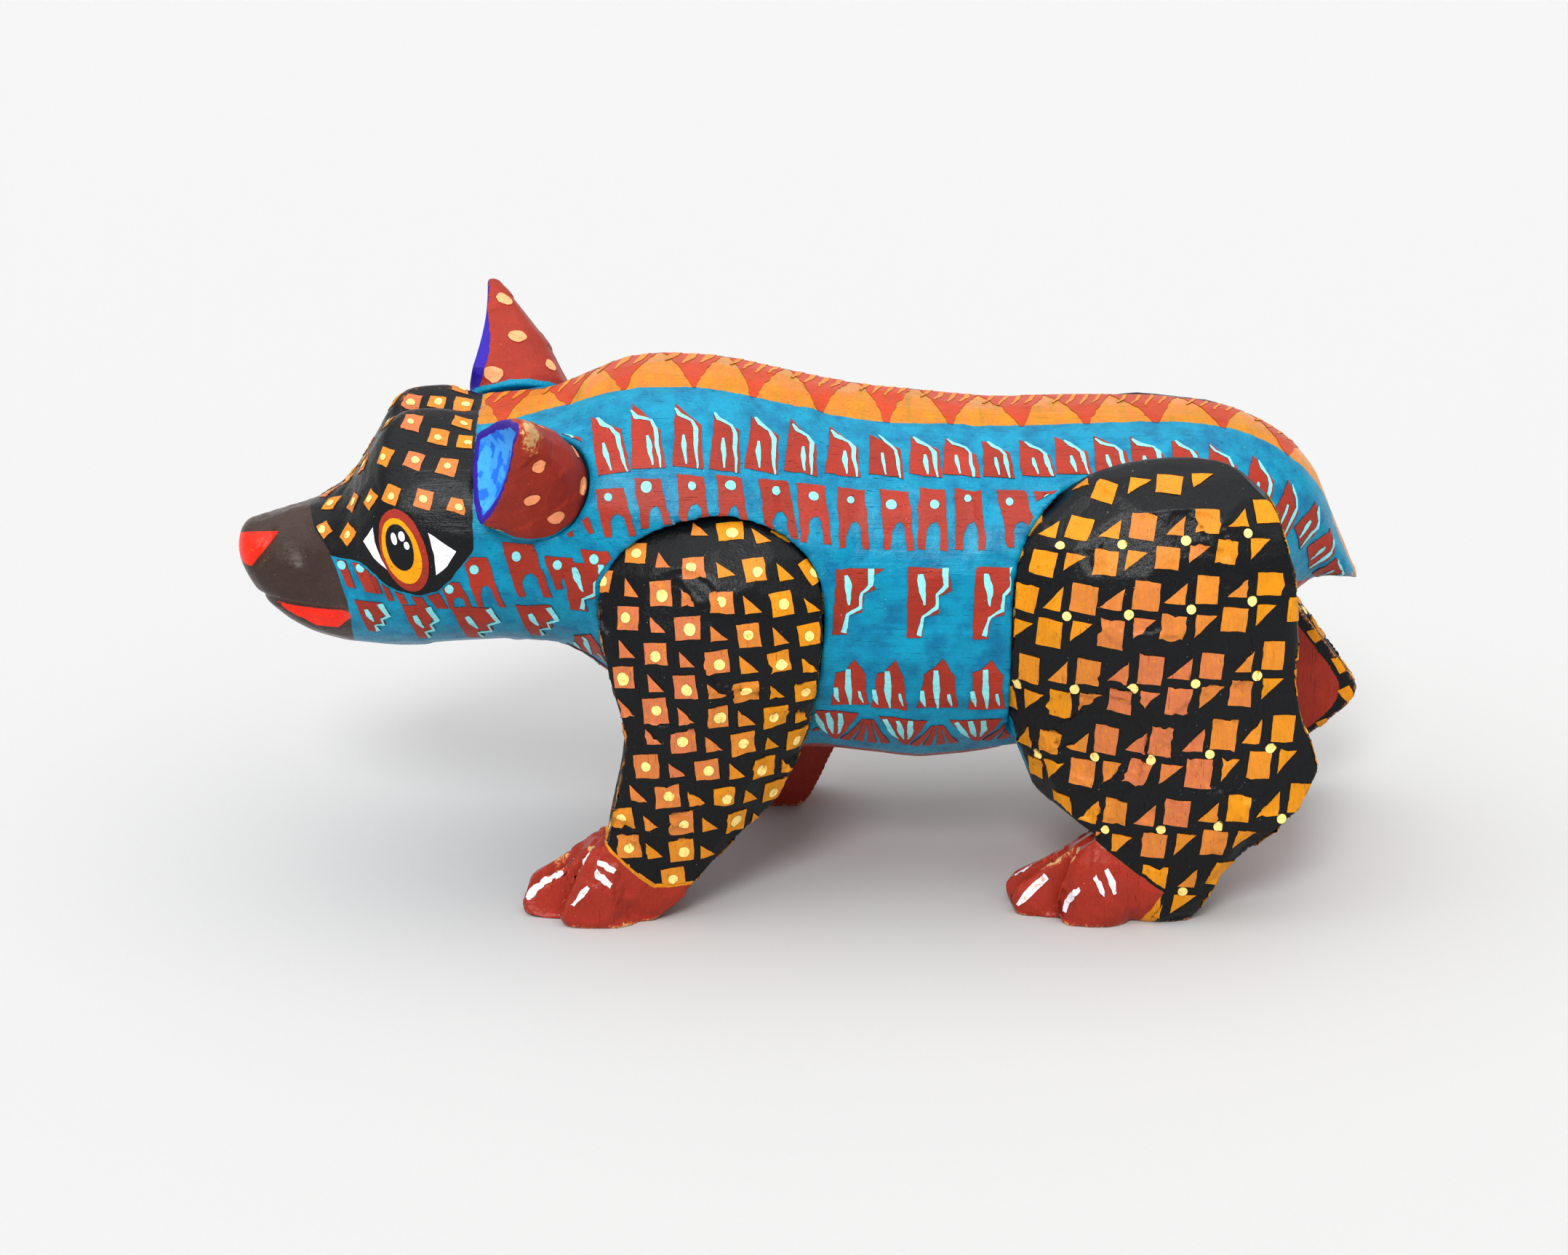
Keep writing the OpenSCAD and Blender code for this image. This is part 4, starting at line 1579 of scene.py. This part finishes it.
# Room left between the log's motifs and the legs and ears
COVER_ROOM = 1.2
# Radius that an ear sweeps as it turns, and how near its seat plane paint may stand under it
EAR_SWEEP = 14
EAR_ROOM = 0.7


def clear_of_covers(place):
    return nearest_of(place, covers, 6.0) - COVER_ROOM


def clear_of_turning(place):
    """How far a place on the log is from what an ear sweeps as it turns."""
    nearest = 9.0
    for side in SIDE_NAMES:
        seat, axis = ear_frame(side)
        height = (place - seat).dot(axis)
        radial = (place - seat - axis * height).length
        nearest = min(nearest, max(-EAR_ROOM - height, radial - EAR_SWEEP))
    return nearest


def keep_flank(place):
    return min(place.x - FLANK_START, clear_of_covers(place))


def keep_cheek(place):
    snout = place.x - curve(SNOUT_BACK, place.z) - 0.3
    mask = max(place.x - MASK_BACK - 0.5, float(curve(MASK_LOW, place.x)) - place.z - 0.5)
    return min(snout, mask, clear_of_covers(place))


def keep_band(place):
    return min(place.x - MASK_BACK - 0.8, clear_of_covers(place))


def keep_mask(place):
    front = place.x - curve(SNOUT_BACK, place.z) - 0.6
    low = place.z - curve(MASK_LOW, place.x) - 0.8
    return min(front, low, MASK_BACK - place.x - 0.6, clear_of_turning(place))


def log_fan():
    """Rays that fan out from the middle line of the log, station by station."""
    points = read_points(log.piece.data)
    stations = np.arange(-117, 116, 3)
    centres = []
    for x in stations:
        middle = MIDDLE_Y + float(head_shift(x))
        column = points[(np.abs(points[:, 0] - x) < 1.6) & (np.abs(points[:, 1] - middle) < 3)]
        centres.append((x, middle, (column[:, 2].min() + column[:, 2].max()) / 2))
    return Fan(log, stations, centres, (0, 0, 1), (0, 1, 0), math.radians(178), 161)


fan = log_fan()
for side, side_name in SIDE_NAMES.items():
    flank = Chips("flank_motifs_" + side_name, keep_flank)
    paint_flank(fan, flank, side, 21 + side)
    flank.finish("root", log_paint)
    cheek = Chips("cheek_motifs_" + side_name, keep_cheek)
    paint_cheek(log, cheek, side)
    cheek.keep = None
    paint_eye(log, cheek, side)
    cheek.finish("root", log_paint)
back = Chips("band_motifs", keep_band)
paint_band(fan, back)
back.finish("root", log_paint)
mask = Chips("mask_motifs", keep_mask)
paint_mask(log, mask)
mask.finish("root", head_paint)

for name, (side, front) in LEGS.items():
    skin = legs[name]
    chips = Chips(name.replace("leg_", "") + "_leg_motifs", leg_keep(skin, side))
    painter = paint_front_leg if front else paint_rear_leg
    painter(skin, chips, side, 50 + len(name))
    chips.keep = None
    paint_nails(skin, chips, side, front)
    if not front:
        paint_margin(skin, chips, side)
    chips.finish("root", leg_paint)

for side, skin in ears.items():
    chips = Chips(SIDE_NAMES[side] + "_ear_dots")
    paint_ear_dots(skin, chips, side)
    chips.finish(SIDE_NAMES[side] + "_ear", log_paint)

bare_wood = raw_wood_material()
for name, node in frame["nodes"].items():
    if name.startswith(("dowel", "ear_peg")):
        node.data.materials.clear()
        node.data.materials.append(bare_wood)
